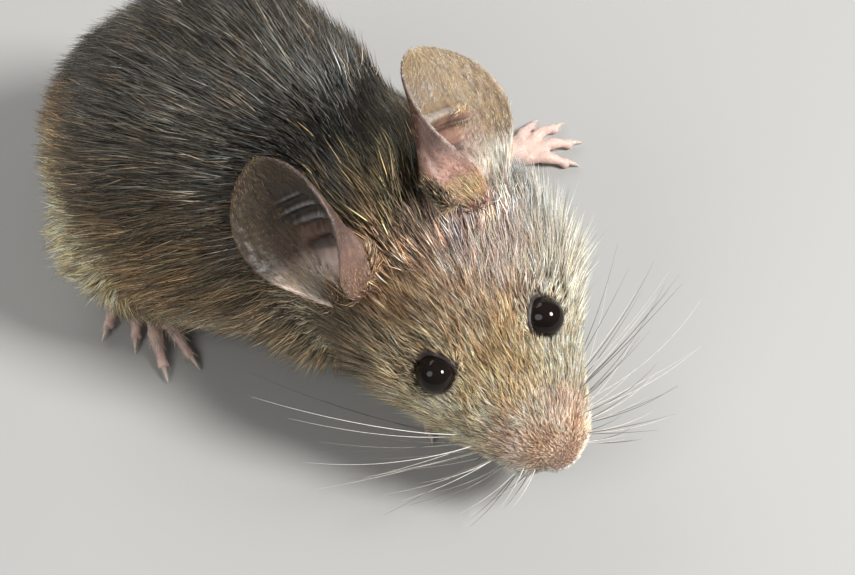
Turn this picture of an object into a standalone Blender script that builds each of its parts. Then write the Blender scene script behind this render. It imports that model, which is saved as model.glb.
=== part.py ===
"""A crouching house mouse at life size, as one still model parted into its named body parts.

The mouse faces -Y, its left side is towards +X, and it stands on Z = 0. Every size is a finished
size in millimetres, out to the tips of the coat, and MM turns it into metres. The trunk, neck, head
and jaw are lofts, the limbs, toes and tail are tapered tubes, and the ears are curled sheets. Where
two parts meet, one is cut back by the other with a small gap.
"""

import math
from collections import namedtuple

import bmesh
import bpy
from mathutils import Matrix, Vector

MM = 0.001
GAP = 0.3 * MM  # clearance left where one part is cut by another
NAME = "house_mouse"

# Pose of the head: where the midpoint between the eyes is, and how the head turns and dips.
EYES_MIDPOINT = Vector((-6.3, -32.2, 16.0)) * MM
HEAD_TURN = math.radians(-28.5)  # about Z, to the mouse's right
HEAD_DIP = math.radians(28.2)  # about X, nose down
HEAD_LEAN = math.radians(-10.0)  # about Y, the left side raised

FLOOR_BLOCK_SIZE = 300 * MM
EYE_RADIUS = 1.75
EYE_ASIDE = 5.0  # from the midline to the centre of the eyeball
BODY_SIDES = 24
SIDES = (("left", 1), ("right", -1))

# A cross-section: its place along the part, its half width, and the heights of its top, of its
# widest line and of its bottom. Squareness 2 is an ellipse, and more is boxier.
Section = namedtuple("Section", "along half_width top middle bottom squareness")

TRUNK = [
    Section(-22.0, 7.6, 21.6, 13.4, 6.8, 2.0),
    Section(-19.0, 9.6, 24.2, 12.8, 4.6, 2.0),
    Section(-14.5, 11.5, 26.8, 12.2, 2.7, 2.1),
    Section(-9.0, 13.4, 28.9, 12.4, 1.6, 2.15),
    Section(-3.0, 14.5, 29.8, 12.6, 1.1, 2.2),
    Section(3.0, 14.0, 28.8, 12.4, 1.0, 2.2),
    Section(8.0, 11.3, 24.9, 11.8, 1.4, 2.1),
    Section(11.8, 8.4, 20.8, 11.2, 3.0, 2.0),
    Section(14.2, 5.2, 16.8, 10.8, 5.6, 2.0),
]
TRUNK_ENDS = (-24.0, 15.6)

# The head's sections run from the nape to the nose, along the line of its brow.
HEAD = [
    Section(-14.5, 6.4, 1.4, -4.6, -10.4, 2.0),
    Section(-12.0, 9.2, 2.8, -4.4, -12.0, 2.0),
    Section(-8.0, 11.0, 3.3, -4.0, -12.0, 2.0),
    Section(-4.0, 11.1, 3.0, -3.6, -10.8, 2.0),
    Section(0.0, 10.0, 2.3, -3.4, -8.9, 2.0),
    Section(3.0, 8.4, 1.4, -3.5, -7.6, 2.0),
    Section(6.0, 6.7, 0.4, -3.6, -6.6, 2.1),
    Section(8.4, 5.2, -0.6, -3.8, -6.2, 2.1),
    Section(10.2, 4.0, -1.6, -3.9, -6.0, 2.1),
    Section(11.4, 2.7, -2.5, -4.0, -5.5, 2.1),
]
HEAD_ENDS = (-16.0, 12.1)

# The snout is turned a little to the mouse's left: it starts to turn this far forward of the eyes,
# and is this far aside at its end.
SNOUT_START = 4.0
SNOUT_END = 12.0
SNOUT_ASIDE = 1.6
SNOUT_CURVE = 1.3

JAW = [
    Section(-2.4, 5.4, -5.8, -7.4, -11.6, 2.0),
    Section(0.5, 5.0, -5.4, -6.9, -10.8, 2.0),
    Section(3.5, 4.2, -5.0, -6.4, -9.6, 2.0),
    Section(6.5, 3.0, -5.0, -6.1, -8.5, 2.0),
    Section(8.2, 1.7, -5.2, -6.0, -7.6, 2.0),
]
JAW_ENDS = (-4.0, 9.0)
JAW_SIDES = 14

NOSE_CENTRE = (0, -11.2, -4.1)  # in the head's frame, where forward is -Y
NOSE_RADII = (1.8, 1.3, 1.4)

# The neck runs from inside the trunk to inside the head.
NECK_BACK = (0, -13.0, 14.6)
NECK_FRONT_IN_HEAD = (0, 9.5, -4.6)
NECK_RISE = 0.2  # of its middle above the line between its ends
NECK_RADII = [10.4, 10.8, 9.9]

FUR = ("agouti_coat", (0.20, 0.165, 0.12), 0.75)
BELLY = ("belly_coat", (0.62, 0.52, 0.38), 0.75)
SKIN = ("bare_skin", (0.66, 0.44, 0.38), 0.55)
EAR_SKIN = ("ear_skin", (0.42, 0.29, 0.23), 0.6)
EYE = ("eye", (0.012, 0.008, 0.007), 0.04)


def material(spec):
    """The material of that name, made once."""
    name, colour, roughness = spec
    made = bpy.data.materials.get(name)
    if made is None:
        made = bpy.data.materials.new(name)
        made.use_nodes = True
        shader = made.node_tree.nodes["Principled BSDF"]
        shader.inputs["Base Color"].default_value = (*colour, 1.0)
        shader.inputs["Roughness"].default_value = roughness
        shader.inputs["Metallic"].default_value = 0.0
    return made


def add_object(name, mesh, collection, spec=None):
    """Links a mesh as a named object, smooth shaded."""
    made = bpy.data.objects.new(name, mesh)
    collection.objects.link(made)
    if spec:
        mesh.materials.append(material(spec))
    mesh.shade_smooth()
    return made


def between(a, b, c, d, t):
    """A Catmull-Rom value between b and c, for numbers or vectors."""
    return 0.5 * (
        2 * b + (c - a) * t + (2 * a - 5 * b + 4 * c - d) * t * t + (3 * b - 3 * c + d - a) * t**3
    )


def smoothed(rows, steps):
    """The rows of a list, with steps - 1 smooth rows put between each pair."""
    ends = [rows[0], *rows, rows[-1]]
    found = []
    for i in range(1, len(ends) - 2):
        four = ends[i - 1 : i + 3]
        for step in range(steps):
            t = step / steps
            found.append([between(*values, t) for values in zip(*four)])
    found.append(list(rows[-1]))
    return found


def signed_power(value, power):
    return math.copysign(abs(value) ** power, value)


def section_ring(section, sides):
    """The points of one cross-section, which stands across Y."""
    ring = []
    for i in range(sides):
        angle = 2 * math.pi * i / sides
        across = signed_power(math.cos(angle), 2 / section.squareness)
        upward = signed_power(math.sin(angle), 2 / section.squareness)
        reach = section.top - section.middle if upward > 0 else section.middle - section.bottom
        x = across * section.half_width
        z = section.middle + upward * reach
        ring.append(Vector((x, section.along, z)) * MM)
    return ring


def loft(rings, poles):
    """A closed mesh through rings of equal length, with a single point beyond each end."""
    bm = bmesh.new()
    rows = [[bm.verts.new(point) for point in ring] for ring in rings]
    sides = len(rows[0])
    for first, second in zip(rows, rows[1:]):
        for i in range(sides):
            j = (i + 1) % sides
            bm.faces.new((first[i], first[j], second[j], second[i]))
    for row, pole in zip((rows[0], rows[-1]), poles):
        tip = bm.verts.new(pole)
        for i in range(sides):
            bm.faces.new((row[i], row[(i + 1) % sides], tip))
    bmesh.ops.recalc_face_normals(bm, faces=bm.faces)
    mesh = bpy.data.meshes.new("loft")
    bm.to_mesh(mesh)
    bm.free()
    return mesh


def section_loft(sections, ends, sides, steps, forward=1):
    """A loft through sections along Y. With forward -1, places along it are counted towards -Y."""
    rows = [Section(*row) for row in smoothed(sections, steps)]
    rings = [section_ring(row._replace(along=row.along * forward), sides) for row in rows]
    poles = [
        Vector((0, end * forward, row.middle)) * MM for end, row in zip(ends, (rows[0], rows[-1]))
    ]
    return loft(rings, poles)


def head_frame():
    """The head's own frame: +X its left, -Y forward along the brow and +Z out of the crown."""
    turn = Matrix.Rotation(HEAD_TURN, 4, "Z") @ Matrix.Rotation(HEAD_DIP, 4, "X")
    lean = Matrix.Rotation(HEAD_LEAN, 4, "Y")
    return Matrix.Translation(EYES_MIDPOINT) @ turn @ lean


def turn_snout(mesh):
    """Moves the front of a mesh in the head's frame aside, where the snout turns."""
    for vertex in mesh.vertices:
        forward = -vertex.co.y / MM
        share = max(0.0, (forward - SNOUT_START) / (SNOUT_END - SNOUT_START))
        vertex.co.x += SNOUT_ASIDE * share**SNOUT_CURVE * MM
    return mesh


def tube(points, radii, resolution, steps=3):
    """A tapered round tube through points, in millimetres, as a closed mesh."""
    rows = smoothed([(*point, radius) for point, radius in zip(points, radii)], steps)
    curve = bpy.data.curves.new("tube", "CURVE")
    curve.dimensions = "3D"
    curve.bevel_depth = MM
    curve.bevel_resolution = resolution
    curve.use_fill_caps = True
    spline = curve.splines.new("POLY")
    spline.points.add(len(rows) - 1)
    for point, (x, y, z, radius) in zip(spline.points, rows):
        point.co = (x * MM, y * MM, z * MM, 1)
        point.radius = radius
    guide = bpy.data.objects.new("tube_guide", curve)
    bpy.context.scene.collection.objects.link(guide)
    graph = bpy.context.evaluated_depsgraph_get()
    mesh = bpy.data.meshes.new_from_object(guide.evaluated_get(graph), depsgraph=graph)
    bpy.data.objects.remove(guide)
    bm = bmesh.new()
    bm.from_mesh(mesh)
    bmesh.ops.remove_doubles(bm, verts=bm.verts, dist=0.001 * MM)
    bmesh.ops.recalc_face_normals(bm, faces=bm.faces)
    bm.to_mesh(mesh)
    bm.free()
    return mesh


def ellipsoid(centre, radii, segments=16, rings=10):
    """A closed ellipsoid, in millimetres."""
    bm = bmesh.new()
    bmesh.ops.create_uvsphere(bm, u_segments=segments, v_segments=rings, radius=MM)
    bmesh.ops.scale(bm, vec=radii, verts=bm.verts)
    bmesh.ops.translate(bm, vec=Vector(centre) * MM, verts=bm.verts)
    mesh = bpy.data.meshes.new("ellipsoid")
    bm.to_mesh(mesh)
    bm.free()
    return mesh


def combine(obj, other, operation):
    """Adds a Boolean of obj with another object."""
    modifier = obj.modifiers.new(operation.lower() + "_" + other.name, "BOOLEAN")
    modifier.operation = operation
    modifier.object = other


def as_cutter(name, mesh, cutters, grow=0.0, shell=0.0):
    """A hidden object to cut with. It can be an open sheet made a shell, and grown along its normals."""
    cutter = add_object(name, mesh, cutters)
    cutter.hide_render = True
    cutter.display_type = "WIRE"
    if shell:
        thicken(cutter, shell)
    if grow:
        swell = cutter.modifiers.new("grow", "DISPLACE")
        swell.mid_level = 0
        swell.strength = grow
    return cutter


def thicken(obj, thickness):
    """Makes an open sheet a closed shell, half of it on each side."""
    shell = obj.modifiers.new("shell", "SOLIDIFY")
    shell.thickness = thickness
    shell.offset = 0


def united(name, meshes, cutters):
    """One mesh made by a Boolean union of several."""
    pieces = [as_cutter(f"{name}_{i}", mesh, cutters) for i, mesh in enumerate(meshes)]
    base = pieces[0]
    for piece in pieces[1:]:
        combine(base, piece, "UNION")
    graph = bpy.context.evaluated_depsgraph_get()
    mesh = bpy.data.meshes.new_from_object(base.evaluated_get(graph), depsgraph=graph)
    for piece in pieces:
        bpy.data.objects.remove(piece)
    return mesh


# An ear's outline: its place along the ear from root to tip, half its width measured round the
# curl, and the half angle of the curl in degrees.
EAR_ROWS = [
    (0.00, 3.0, 124.0),
    (0.16, 4.1, 106.0),
    (0.34, 5.15, 80.0),
    (0.52, 5.6, 60.0),
    (0.70, 5.2, 47.0),
    (0.85, 4.05, 36.0),
    (0.95, 2.5, 26.0),
    (1.00, 1.2, 18.0),
]
EAR_LENGTH = 12.7
EAR_THICKNESS = 0.6
EAR_COLUMNS = 8
EAR_BACKWARD_BEND = 1.6  # how far the tip leans back out of the ear's plane
EarPose = namedtuple("EarPose", "root axis facing pouch")
# Each ear's root in the head's frame, the way it points and the way its hollow faces, all as
# outward, forward and up, and how far its inner wall swells towards the crown.
EAR_POSES = {
    "left": EarPose((5.3, -11.6, -0.7), (0.09, -0.98, 0.15), (0.60, 0.18, 0.78), 3.3),
    "right": EarPose((8.3, -10.1, -0.7), (0.22, -0.86, 0.45), (0.60, 0.49, 0.63), 1.7),
}
POUCH_PLACE = 0.26  # along the ear, where its inner wall swells most
POUCH_REACH = 0.38


def ear_sheet(pose, side):
    """The open curled sheet of one ear, in the head's frame."""
    mirror = Vector((side, -1, 1))
    axis = Vector(a * m for a, m in zip(pose.axis, mirror)).normalized()
    facing = Vector(a * m for a, m in zip(pose.facing, mirror))
    facing = (facing - axis * facing.dot(axis)).normalized()
    across = axis.cross(facing)
    root = Vector(a * m for a, m in zip(pose.root, mirror))
    bm = bmesh.new()
    grid = []
    for place, half_width, curl in smoothed(EAR_ROWS, 2):
        angle = math.radians(curl)
        radius = half_width / angle
        row = []
        for i in range(EAR_COLUMNS + 1):
            around = 2 * i / EAR_COLUMNS - 1
            turn = angle * around
            inner = math.sin(math.pi * max(-side * around, 0))
            swell = pose.pouch * math.exp(-(((place - POUCH_PLACE) / POUCH_REACH) ** 2)) * inner
            aside = across * (radius * math.sin(turn) - side * swell)
            lift = facing * (radius * (1 - math.cos(turn)) - EAR_BACKWARD_BEND * place**2)
            row.append(bm.verts.new((root + axis * (EAR_LENGTH * place) + aside + lift) * MM))
        grid.append(row)
    for first, second in zip(grid, grid[1:]):
        for i in range(EAR_COLUMNS):
            bm.faces.new((first[i], first[i + 1], second[i + 1], second[i]))
    bmesh.ops.recalc_face_normals(bm, faces=bm.faces)
    mesh = bpy.data.meshes.new("ear_sheet")
    bm.to_mesh(mesh)
    bm.free()
    return mesh


# A foot: the points of its sole's core from heel to knuckles with their radii, then each toe's
# knuckle, bend and tip. Toe radii run from knuckle to tip.
Foot = namedtuple("Foot", "core core_radii toes toe_radii")
HIND_FEET = {
    "right": Foot(
        [(-3.6, 9.0, 1.9), (-5.6, 6.2, 1.7), (-8.2, 2.9, 1.5), (-10.2, 0.4, 1.25)],
        [1.35, 1.45, 1.6, 1.75],
        [
            [(-9.0, 2.9, 1.2), (-11.6, 2.9, 1.15), (-13.5, 2.5, 0.46)],
            [(-9.6, 1.2, 1.2), (-11.6, 0.6, 1.3), (-13.2, -0.3, 0.46)],
            [(-10.2, 0.0, 1.2), (-12.6, -2.1, 1.3), (-14.5, -4.1, 0.46)],
            [(-9.8, -0.7, 1.2), (-11.3, -3.3, 1.3), (-12.4, -5.6, 0.46)],
            [(-8.6, 0.2, 1.1), (-9.1, -2.2, 1.1), (-9.2, -4.2, 0.46)],
        ],
        [0.75, 0.62, 0.52],
    ),
    "left": Foot(
        [(-3.9, 8.0, 1.9), (-5.4, 4.8, 1.7), (-7.4, 1.1, 1.5), (-9.0, -1.7, 1.25)],
        [1.35, 1.45, 1.6, 1.75],
        [
            [(-8.2, 1.0, 1.2), (-10.8, 0.3, 1.15), (-12.6, -0.7, 0.46)],
            [(-9.0, -1.2, 1.2), (-11.4, -3.0, 1.25), (-13.2, -4.6, 0.46)],
            [(-9.0, -2.0, 1.2), (-10.8, -4.6, 1.3), (-12.0, -7.0, 0.46)],
            [(-8.4, -2.6, 1.2), (-9.3, -5.4, 1.3), (-9.9, -7.9, 0.46)],
            [(-7.4, -1.6, 1.1), (-7.2, -4.0, 1.1), (-6.9, -6.0, 0.46)],
        ],
        [0.75, 0.62, 0.52],
    ),
}
FORE_FEET = {
    "right": Foot(
        [(-4.4, -22.0, 2.3), (-4.6, -24.4, 1.45), (-4.9, -26.2, 1.1)],
        [1.25, 1.35, 1.55],
        [
            [(-5.6, -25.6, 1.0), (-7.2, -26.7, 1.1), (-8.3, -27.7, 0.4)],
            [(-5.3, -26.4, 1.0), (-6.3, -28.3, 1.2), (-6.9, -29.8, 0.4)],
            [(-4.8, -26.6, 1.0), (-4.8, -28.8, 1.2), (-4.8, -30.5, 0.4)],
            [(-4.1, -26.2, 1.0), (-3.4, -28.1, 1.1), (-2.9, -29.5, 0.4)],
        ],
        [0.62, 0.55, 0.46],
    ),
    "left": Foot(
        [(-18.2, -18.4, 2.6), (-20.0, -19.4, 1.5), (-21.5, -20.4, 1.1)],
        [1.25, 1.35, 1.55],
        [
            [(-21.2, -19.8, 1.0), (-23.2, -19.6, 1.1), (-24.7, -19.7, 0.4)],
            [(-21.8, -20.5, 1.0), (-24.0, -21.0, 1.2), (-25.7, -21.7, 0.4)],
            [(-21.7, -21.1, 1.0), (-23.5, -22.5, 1.2), (-24.8, -23.8, 0.4)],
            [(-20.9, -21.2, 1.0), (-22.0, -23.0, 1.1), (-22.7, -24.6, 0.4)],
        ],
        [0.62, 0.55, 0.46],
    ),
}
CLAW_LENGTHS = {"hind": 1.5, "fore": 1.2}
CLAW_SUNK = 0.6  # how far a claw starts back inside its toe
CLAW_ARCH = 0.05  # how far its middle is raised
CLAW_TIP_HEIGHT = 0.3
CLAW_TIP_RADIUS = 0.14
CLAW_TAPER = (0.8, 0.55)  # its radius at the start and the middle, as shares of the toe's

# Each leg runs from inside the trunk to its foot, given for the right side.
LEGS = {
    "hindleg_right": (
        [(-7.2, 6.6, 9.2), (-9.4, 3.0, 9.2), (-10.0, -1.0, 8.0), (-9.6, -4.0, 5.6)],
        [5.6, 6.1, 5.4, 3.5],
    ),
    "hindleg_left": (
        [(-7.2, 6.0, 9.2), (-9.4, 2.4, 9.2), (-9.8, -1.6, 8.0), (-9.4, -4.8, 5.6)],
        [5.6, 6.1, 5.4, 3.5],
    ),
    "foreleg_right": (
        [(-5.0, -15.5, 11.5), (-7.6, -14.6, 8.4), (-6.4, -18.2, 5.2), (-4.6, -21.8, 3.0)],
        [4.6, 3.9, 2.7, 1.8],
    ),
    "foreleg_left": (
        [(-5.5, -15.0, 12.0), (-10.5, -14.2, 9.6), (-14.4, -16.0, 6.0), (-18.3, -18.4, 3.1)],
        [4.6, 3.9, 2.6, 1.75],
    ),
}
SHANKS = {
    "right": ([(-10.0, -4.0, 5.6), (-7.4, 2.0, 3.8), (-4.6, 7.6, 2.6)], [3.2, 2.4, 1.7]),
    "left": ([(-9.4, -4.4, 5.6), (-7.2, 1.2, 3.8), (-4.8, 6.6, 2.6)], [3.2, 2.4, 1.7]),
}

TAIL = [
    (0.0, 12.6, 8.6),
    (1.4, 15.8, 4.6),
    (5.0, 17.9, 2.2),
    (10.4, 18.2, 1.7),
    (16.4, 16.8, 1.6),
    (22.4, 14.0, 1.5),
    (30.0, 12.2, 1.4),
    (37.8, 14.4, 1.27),
    (43.8, 20.2, 1.13),
    (47.4, 28.2, 0.97),
    (48.0, 37.2, 0.8),
    (45.6, 45.4, 0.6),
]
TAIL_RADII = [3.0, 2.3, 1.85, 1.75, 1.68, 1.6, 1.5, 1.37, 1.23, 1.07, 0.9, 0.65]
TAIL_STEPS = 3  # smooth rows from one point of the tail to the next
TAIL_CUTS = {"tail_base": (0, 4), "tail_middle": (4, 8), "tail_tip": (8, 11)}


def mirrored(points, side):
    """Points given for the right side, moved to the side asked for. Side is 1 for the left."""
    return [(-side * x, y, z) for x, y, z in points]


def claw(tip, before, radius, length):
    """A claw beyond a toe's tip, as a cone that curves down to the floor."""
    tip, before = Vector(tip), Vector(before)
    ahead = (tip - before).normalized()
    inside = tip - ahead * CLAW_SUNK
    middle = tip + ahead * (length / 2) + Vector((0, 0, CLAW_ARCH))
    end = tip + ahead * length
    end.z = CLAW_TIP_HEIGHT
    radii = [radius * share for share in CLAW_TAPER] + [CLAW_TIP_RADIUS]
    return tube([inside, middle, end], radii, 1, 1)


def foot_mesh(name, foot, side, kind, cutters):
    """The core, toes and claws of a foot as one mesh."""
    meshes = [tube(mirrored(foot.core, side), foot.core_radii, 2, 2)]
    for toe in foot.toes:
        points = mirrored(toe, side)
        meshes.append(tube(points, foot.toe_radii, 1, 2))
        meshes.append(claw(points[-1], points[-2], foot.toe_radii[-1], CLAW_LENGTHS[kind]))
    return united(name, meshes, cutters)


def build_limbs(parts, cutters, trunk_cutter, floor):
    """The four legs and feet. Each leg is cut by the trunk, and each foot by its leg."""
    for side_name, side in SIDES:
        for kind, feet in (("hind", HIND_FEET), ("fore", FORE_FEET)):
            leg_name = f"{kind}leg_{side_name}"
            points, radii = LEGS[leg_name]
            meshes = [tube(mirrored(points, side), radii, 4)]
            if kind == "hind":
                shank, shank_radii = SHANKS[side_name]
                meshes.append(tube(mirrored(shank, side), shank_radii, 3, 2))
            leg_mesh = united(leg_name, meshes, cutters)
            leg = add_object(leg_name, leg_mesh, parts, FUR)
            combine(leg, trunk_cutter, "DIFFERENCE")
            combine(leg, floor, "DIFFERENCE")
            name = f"{kind}foot_{side_name}"
            foot = add_object(name, foot_mesh(name, feet[side_name], side, kind, cutters), parts, SKIN)
            leg_cutter = as_cutter(f"{leg_name}_cutter", leg_mesh.copy(), cutters, GAP)
            for cutter in (leg_cutter, trunk_cutter, floor):
                combine(foot, cutter, "DIFFERENCE")


def build_tail(parts, trunk_cutter, floor):
    """The tail in three lengths, with a gap between each and the next."""
    whole = smoothed([(*point, radius) for point, radius in zip(TAIL, TAIL_RADII)], TAIL_STEPS)
    for name, (first, last) in TAIL_CUTS.items():
        rows = whole[first * TAIL_STEPS : last * TAIL_STEPS + 1]
        points = [Vector(row[:3]) for row in rows]
        points[-1] = points[-1].lerp(points[-2], GAP / MM / (points[-1] - points[-2]).length)
        length = add_object(name, tube(points, [row[3] for row in rows], 2, 1), parts, SKIN)
        combine(length, trunk_cutter, "DIFFERENCE")
        combine(length, floor, "DIFFERENCE")


def build_ears(parts, cutters, frame, head_cutter):
    """Both ears. Returns the cutters that clear a place for them in the neck and the trunk."""
    clearances = []
    for side_name, side in SIDES:
        sheet = ear_sheet(EAR_POSES[side_name], side)
        sheet.transform(frame)
        ear = add_object(f"ear_{side_name}", sheet, parts, EAR_SKIN)
        thicken(ear, EAR_THICKNESS * MM)
        combine(ear, head_cutter, "DIFFERENCE")
        name = f"ear_{side_name}_cutter"
        clearances.append(as_cutter(name, sheet.copy(), cutters, GAP, EAR_THICKNESS * MM))
    return clearances


def build_head(parts, cutters, frame):
    """The head with its jaw, nose and eyes. Returns the cutter of the whole head."""
    head_mesh = turn_snout(section_loft(HEAD, HEAD_ENDS, BODY_SIDES, 2, -1))
    head_mesh.transform(frame)
    head = add_object("head", head_mesh, parts, FUR)
    head_cutter = as_cutter("head_cutter", head_mesh.copy(), cutters, GAP)
    jaw_mesh = turn_snout(section_loft(JAW, JAW_ENDS, JAW_SIDES, 2, -1))
    jaw_mesh.transform(frame)
    combine(add_object("jaw", jaw_mesh, parts, BELLY), head_cutter, "DIFFERENCE")
    nose_mesh = turn_snout(ellipsoid(NOSE_CENTRE, NOSE_RADII, 12, 8))
    nose_mesh.transform(frame)
    combine(add_object("nose", nose_mesh, parts, SKIN), head_cutter, "DIFFERENCE")
    for side_name, side in SIDES:
        centre = (side * EYE_ASIDE, 0, 0)
        eye_mesh = ellipsoid(centre, (EYE_RADIUS,) * 3)
        eye_mesh.transform(frame)
        add_object(f"eye_{side_name}", eye_mesh, parts, EYE)
        socket_mesh = ellipsoid(centre, (EYE_RADIUS + GAP / MM,) * 3)
        socket_mesh.transform(frame)
        combine(head, as_cutter(f"socket_{side_name}", socket_mesh, cutters), "DIFFERENCE")
    return head_cutter


def build_neck(parts, frame, trunk_cutter, head_cutter, clearances):
    """The collar of neck between the trunk's rounded front and the back of the head."""
    back = Vector(NECK_BACK)
    front = (frame @ (Vector(NECK_FRONT_IN_HEAD) * MM)) / MM
    middle = (back + front) / 2 + Vector((0, 0, NECK_RISE))
    neck = add_object("neck", tube([back, middle, front], NECK_RADII, 5, 3), parts, FUR)
    for cutter in (trunk_cutter, head_cutter, *clearances):
        combine(neck, cutter, "DIFFERENCE")


def centre_on_floor(parts):
    """Moves everything so that the origin is under the middle of the model, on the floor."""
    graph = bpy.context.evaluated_depsgraph_get()
    corners = []
    for part in parts.objects:
        corners += [Vector(corner) for corner in part.evaluated_get(graph).bound_box]
    xs, ys, zs = zip(*corners)
    shift = Vector((min(xs) + max(xs), min(ys) + max(ys), 2 * min(zs))) / 2
    for obj in bpy.data.objects:
        obj.location -= shift


def floor_block():
    """A block whose top is the floor, to cut flats on whatever reaches it."""
    bm = bmesh.new()
    below = Matrix.Translation((0, 0, -FLOOR_BLOCK_SIZE / 2))
    bmesh.ops.create_cube(bm, size=FLOOR_BLOCK_SIZE, matrix=below)
    mesh = bpy.data.meshes.new("floor_block")
    bm.to_mesh(mesh)
    bm.free()
    return mesh


def main():
    for obj in list(bpy.data.objects):
        bpy.data.objects.remove(obj)
    parts = bpy.data.collections.new(NAME)
    cutters = bpy.data.collections.new("cutters")
    bpy.context.scene.collection.children.link(parts)
    bpy.context.scene.collection.children.link(cutters)

    frame = head_frame()
    head_cutter = build_head(parts, cutters, frame)
    clearances = build_ears(parts, cutters, frame, head_cutter)
    trunk_mesh = section_loft(TRUNK, TRUNK_ENDS, BODY_SIDES, 2)
    trunk = add_object("trunk", trunk_mesh, parts, FUR)
    for cutter in (head_cutter, *clearances):
        combine(trunk, cutter, "DIFFERENCE")
    trunk_cutter = as_cutter("trunk_cutter", trunk_mesh.copy(), cutters, GAP)
    floor = as_cutter("floor_block", floor_block(), cutters)
    build_neck(parts, frame, trunk_cutter, head_cutter, clearances)
    build_limbs(parts, cutters, trunk_cutter, floor)
    build_tail(parts, trunk_cutter, floor)
    centre_on_floor(parts)


main()
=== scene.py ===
"""The looks of a life-size house mouse at rest on the floor, its head turned to its right and dipped.

One skin stands for every node of flesh, and the coat over it is closed tufts that follow the lie of
the fur. Everything is worked out in millimetres, in the frame's own axes: the mouse faces -Y, its
left side is towards +X, and the floor is Z = 0. MM turns a finished shape into metres.
"""

import logging
import math
from dataclasses import dataclass, field
from enum import Enum

import bmesh
import bpy
import numpy as np
from mathutils import Matrix, Vector
from mathutils.bvhtree import BVHTree
from mathutils.kdtree import KDTree


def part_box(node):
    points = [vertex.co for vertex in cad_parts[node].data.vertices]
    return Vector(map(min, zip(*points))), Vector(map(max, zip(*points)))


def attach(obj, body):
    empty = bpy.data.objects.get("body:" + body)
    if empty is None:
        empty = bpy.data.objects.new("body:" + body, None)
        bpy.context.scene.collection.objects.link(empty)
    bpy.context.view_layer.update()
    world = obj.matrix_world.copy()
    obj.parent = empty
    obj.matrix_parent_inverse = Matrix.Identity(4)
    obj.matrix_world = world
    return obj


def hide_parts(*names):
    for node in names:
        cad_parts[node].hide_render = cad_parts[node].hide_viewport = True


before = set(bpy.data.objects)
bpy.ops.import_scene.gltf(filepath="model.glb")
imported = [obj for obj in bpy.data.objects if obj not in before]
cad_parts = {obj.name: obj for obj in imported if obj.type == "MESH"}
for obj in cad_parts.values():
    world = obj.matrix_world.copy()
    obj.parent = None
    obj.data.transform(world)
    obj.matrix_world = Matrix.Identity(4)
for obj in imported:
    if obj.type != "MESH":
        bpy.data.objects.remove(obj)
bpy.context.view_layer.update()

MM = 0.001
SEED = 11
UP = np.array((0.0, 0.0, 1.0))
STRAIGHT = np.eye(3)
INSET = 0.05  # how far the skin of paws and tail lies inside the solids, in millimetres
Socket = bpy.types.NodeSocket
log = logging.getLogger("house_mouse")


class Side(Enum):
    """A side of the mouse, and the sign of X there."""

    LEFT = 1
    RIGHT = -1

    @property
    def word(self) -> str:
        """The side's name as the nodes spell it."""
        return self.name.lower()

    @property
    def mirror(self) -> np.ndarray:
        """What takes a place on the left side to this side."""
        return np.array((self.value, 1.0, 1.0))


class Area(Enum):
    """The areas of the body that differ in coat."""

    TRUNK = "trunk"
    NECK = "neck"
    HEAD = "head"
    LEGS = "legs"
    PAWS = "paws"
    TAIL = "tail"
    EARS = "ears"


# Arrays of points


def unit(rows: np.ndarray) -> np.ndarray:
    """Each row as a vector of length 1."""
    return rows / np.maximum(np.linalg.norm(rows, axis=-1, keepdims=True), 1e-9)


def ease(values: np.ndarray, low: float, high: float) -> np.ndarray:
    """0 at low and 1 at high, with a smooth change between."""
    t = np.clip((values - low) / (high - low), 0.0, 1.0)
    return t * t * (3.0 - 2.0 * t)


def bell(values: np.ndarray, middle: float, reach: float) -> np.ndarray:
    """1 at the middle, falling off to either side over the reach."""
    return np.exp(-(((values - middle) / reach) ** 2))


def smooth_rows(rows: np.ndarray, steps: int) -> np.ndarray:
    """Puts steps - 1 rows between each pair, on Catmull-Rom curves through all of them.

    Args:
        rows: One row of numbers for each point.
        steps: How many parts each interval is divided into.

    Returns:
        The longer array of rows.
    """
    rows = np.asarray(rows, float)
    ends = np.vstack([rows[:1], rows, rows[-1:]])
    t = (np.arange(steps) / steps)[:, None]
    found = []
    for a, b, c, d in zip(ends, ends[1:], ends[2:], ends[3:]):
        curve = 2 * b + (c - a) * t + (2 * a - 5 * b + 4 * c - d) * t**2 + (3 * b - 3 * c + d - a) * t**3
        found.append(0.5 * curve)
    return np.vstack([*found, rows[-1:]])


def ripple(points: np.ndarray, wavelength: float, seed: int, waves: int = 9) -> np.ndarray:
    """A smooth random field between about -1 and 1, as a sum of waves in random directions.

    Args:
        points: Where to read the field, in millimetres.
        wavelength: The typical size of its features, in millimetres.
        seed: Which field it is.
        waves: How many waves are added.

    Returns:
        One value for each point.
    """
    rng = np.random.default_rng(seed)
    directions = unit(rng.normal(size=(waves, 3)))
    rates = 2 * math.pi / (wavelength * rng.uniform(0.7, 1.5, waves))
    phases = rng.uniform(0, 2 * math.pi, waves)
    return np.sin(points @ (directions * rates[:, None]).T + phases).sum(axis=1) / math.sqrt(waves)


def turned(rows: np.ndarray, axes: np.ndarray, angles: np.ndarray) -> np.ndarray:
    """Rows turned about unit axes at right angles to them, by angles in radians."""
    return rows * np.cos(angles)[:, None] + np.cross(axes, rows) * np.sin(angles)[:, None]


def square_to(rows: np.ndarray, axis: np.ndarray) -> np.ndarray:
    """Rows without what lies along a unit axis, as vectors of length 1."""
    return unit(rows - (rows @ axis)[..., None] * axis)


def blended(first: np.ndarray | tuple, second: np.ndarray | tuple, share: np.ndarray) -> np.ndarray:
    """Rows that go from the first to the second as the share goes from 0 to 1."""
    share = share[:, None]
    return np.asarray(first) * (1 - share) + np.asarray(second) * share


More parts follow.
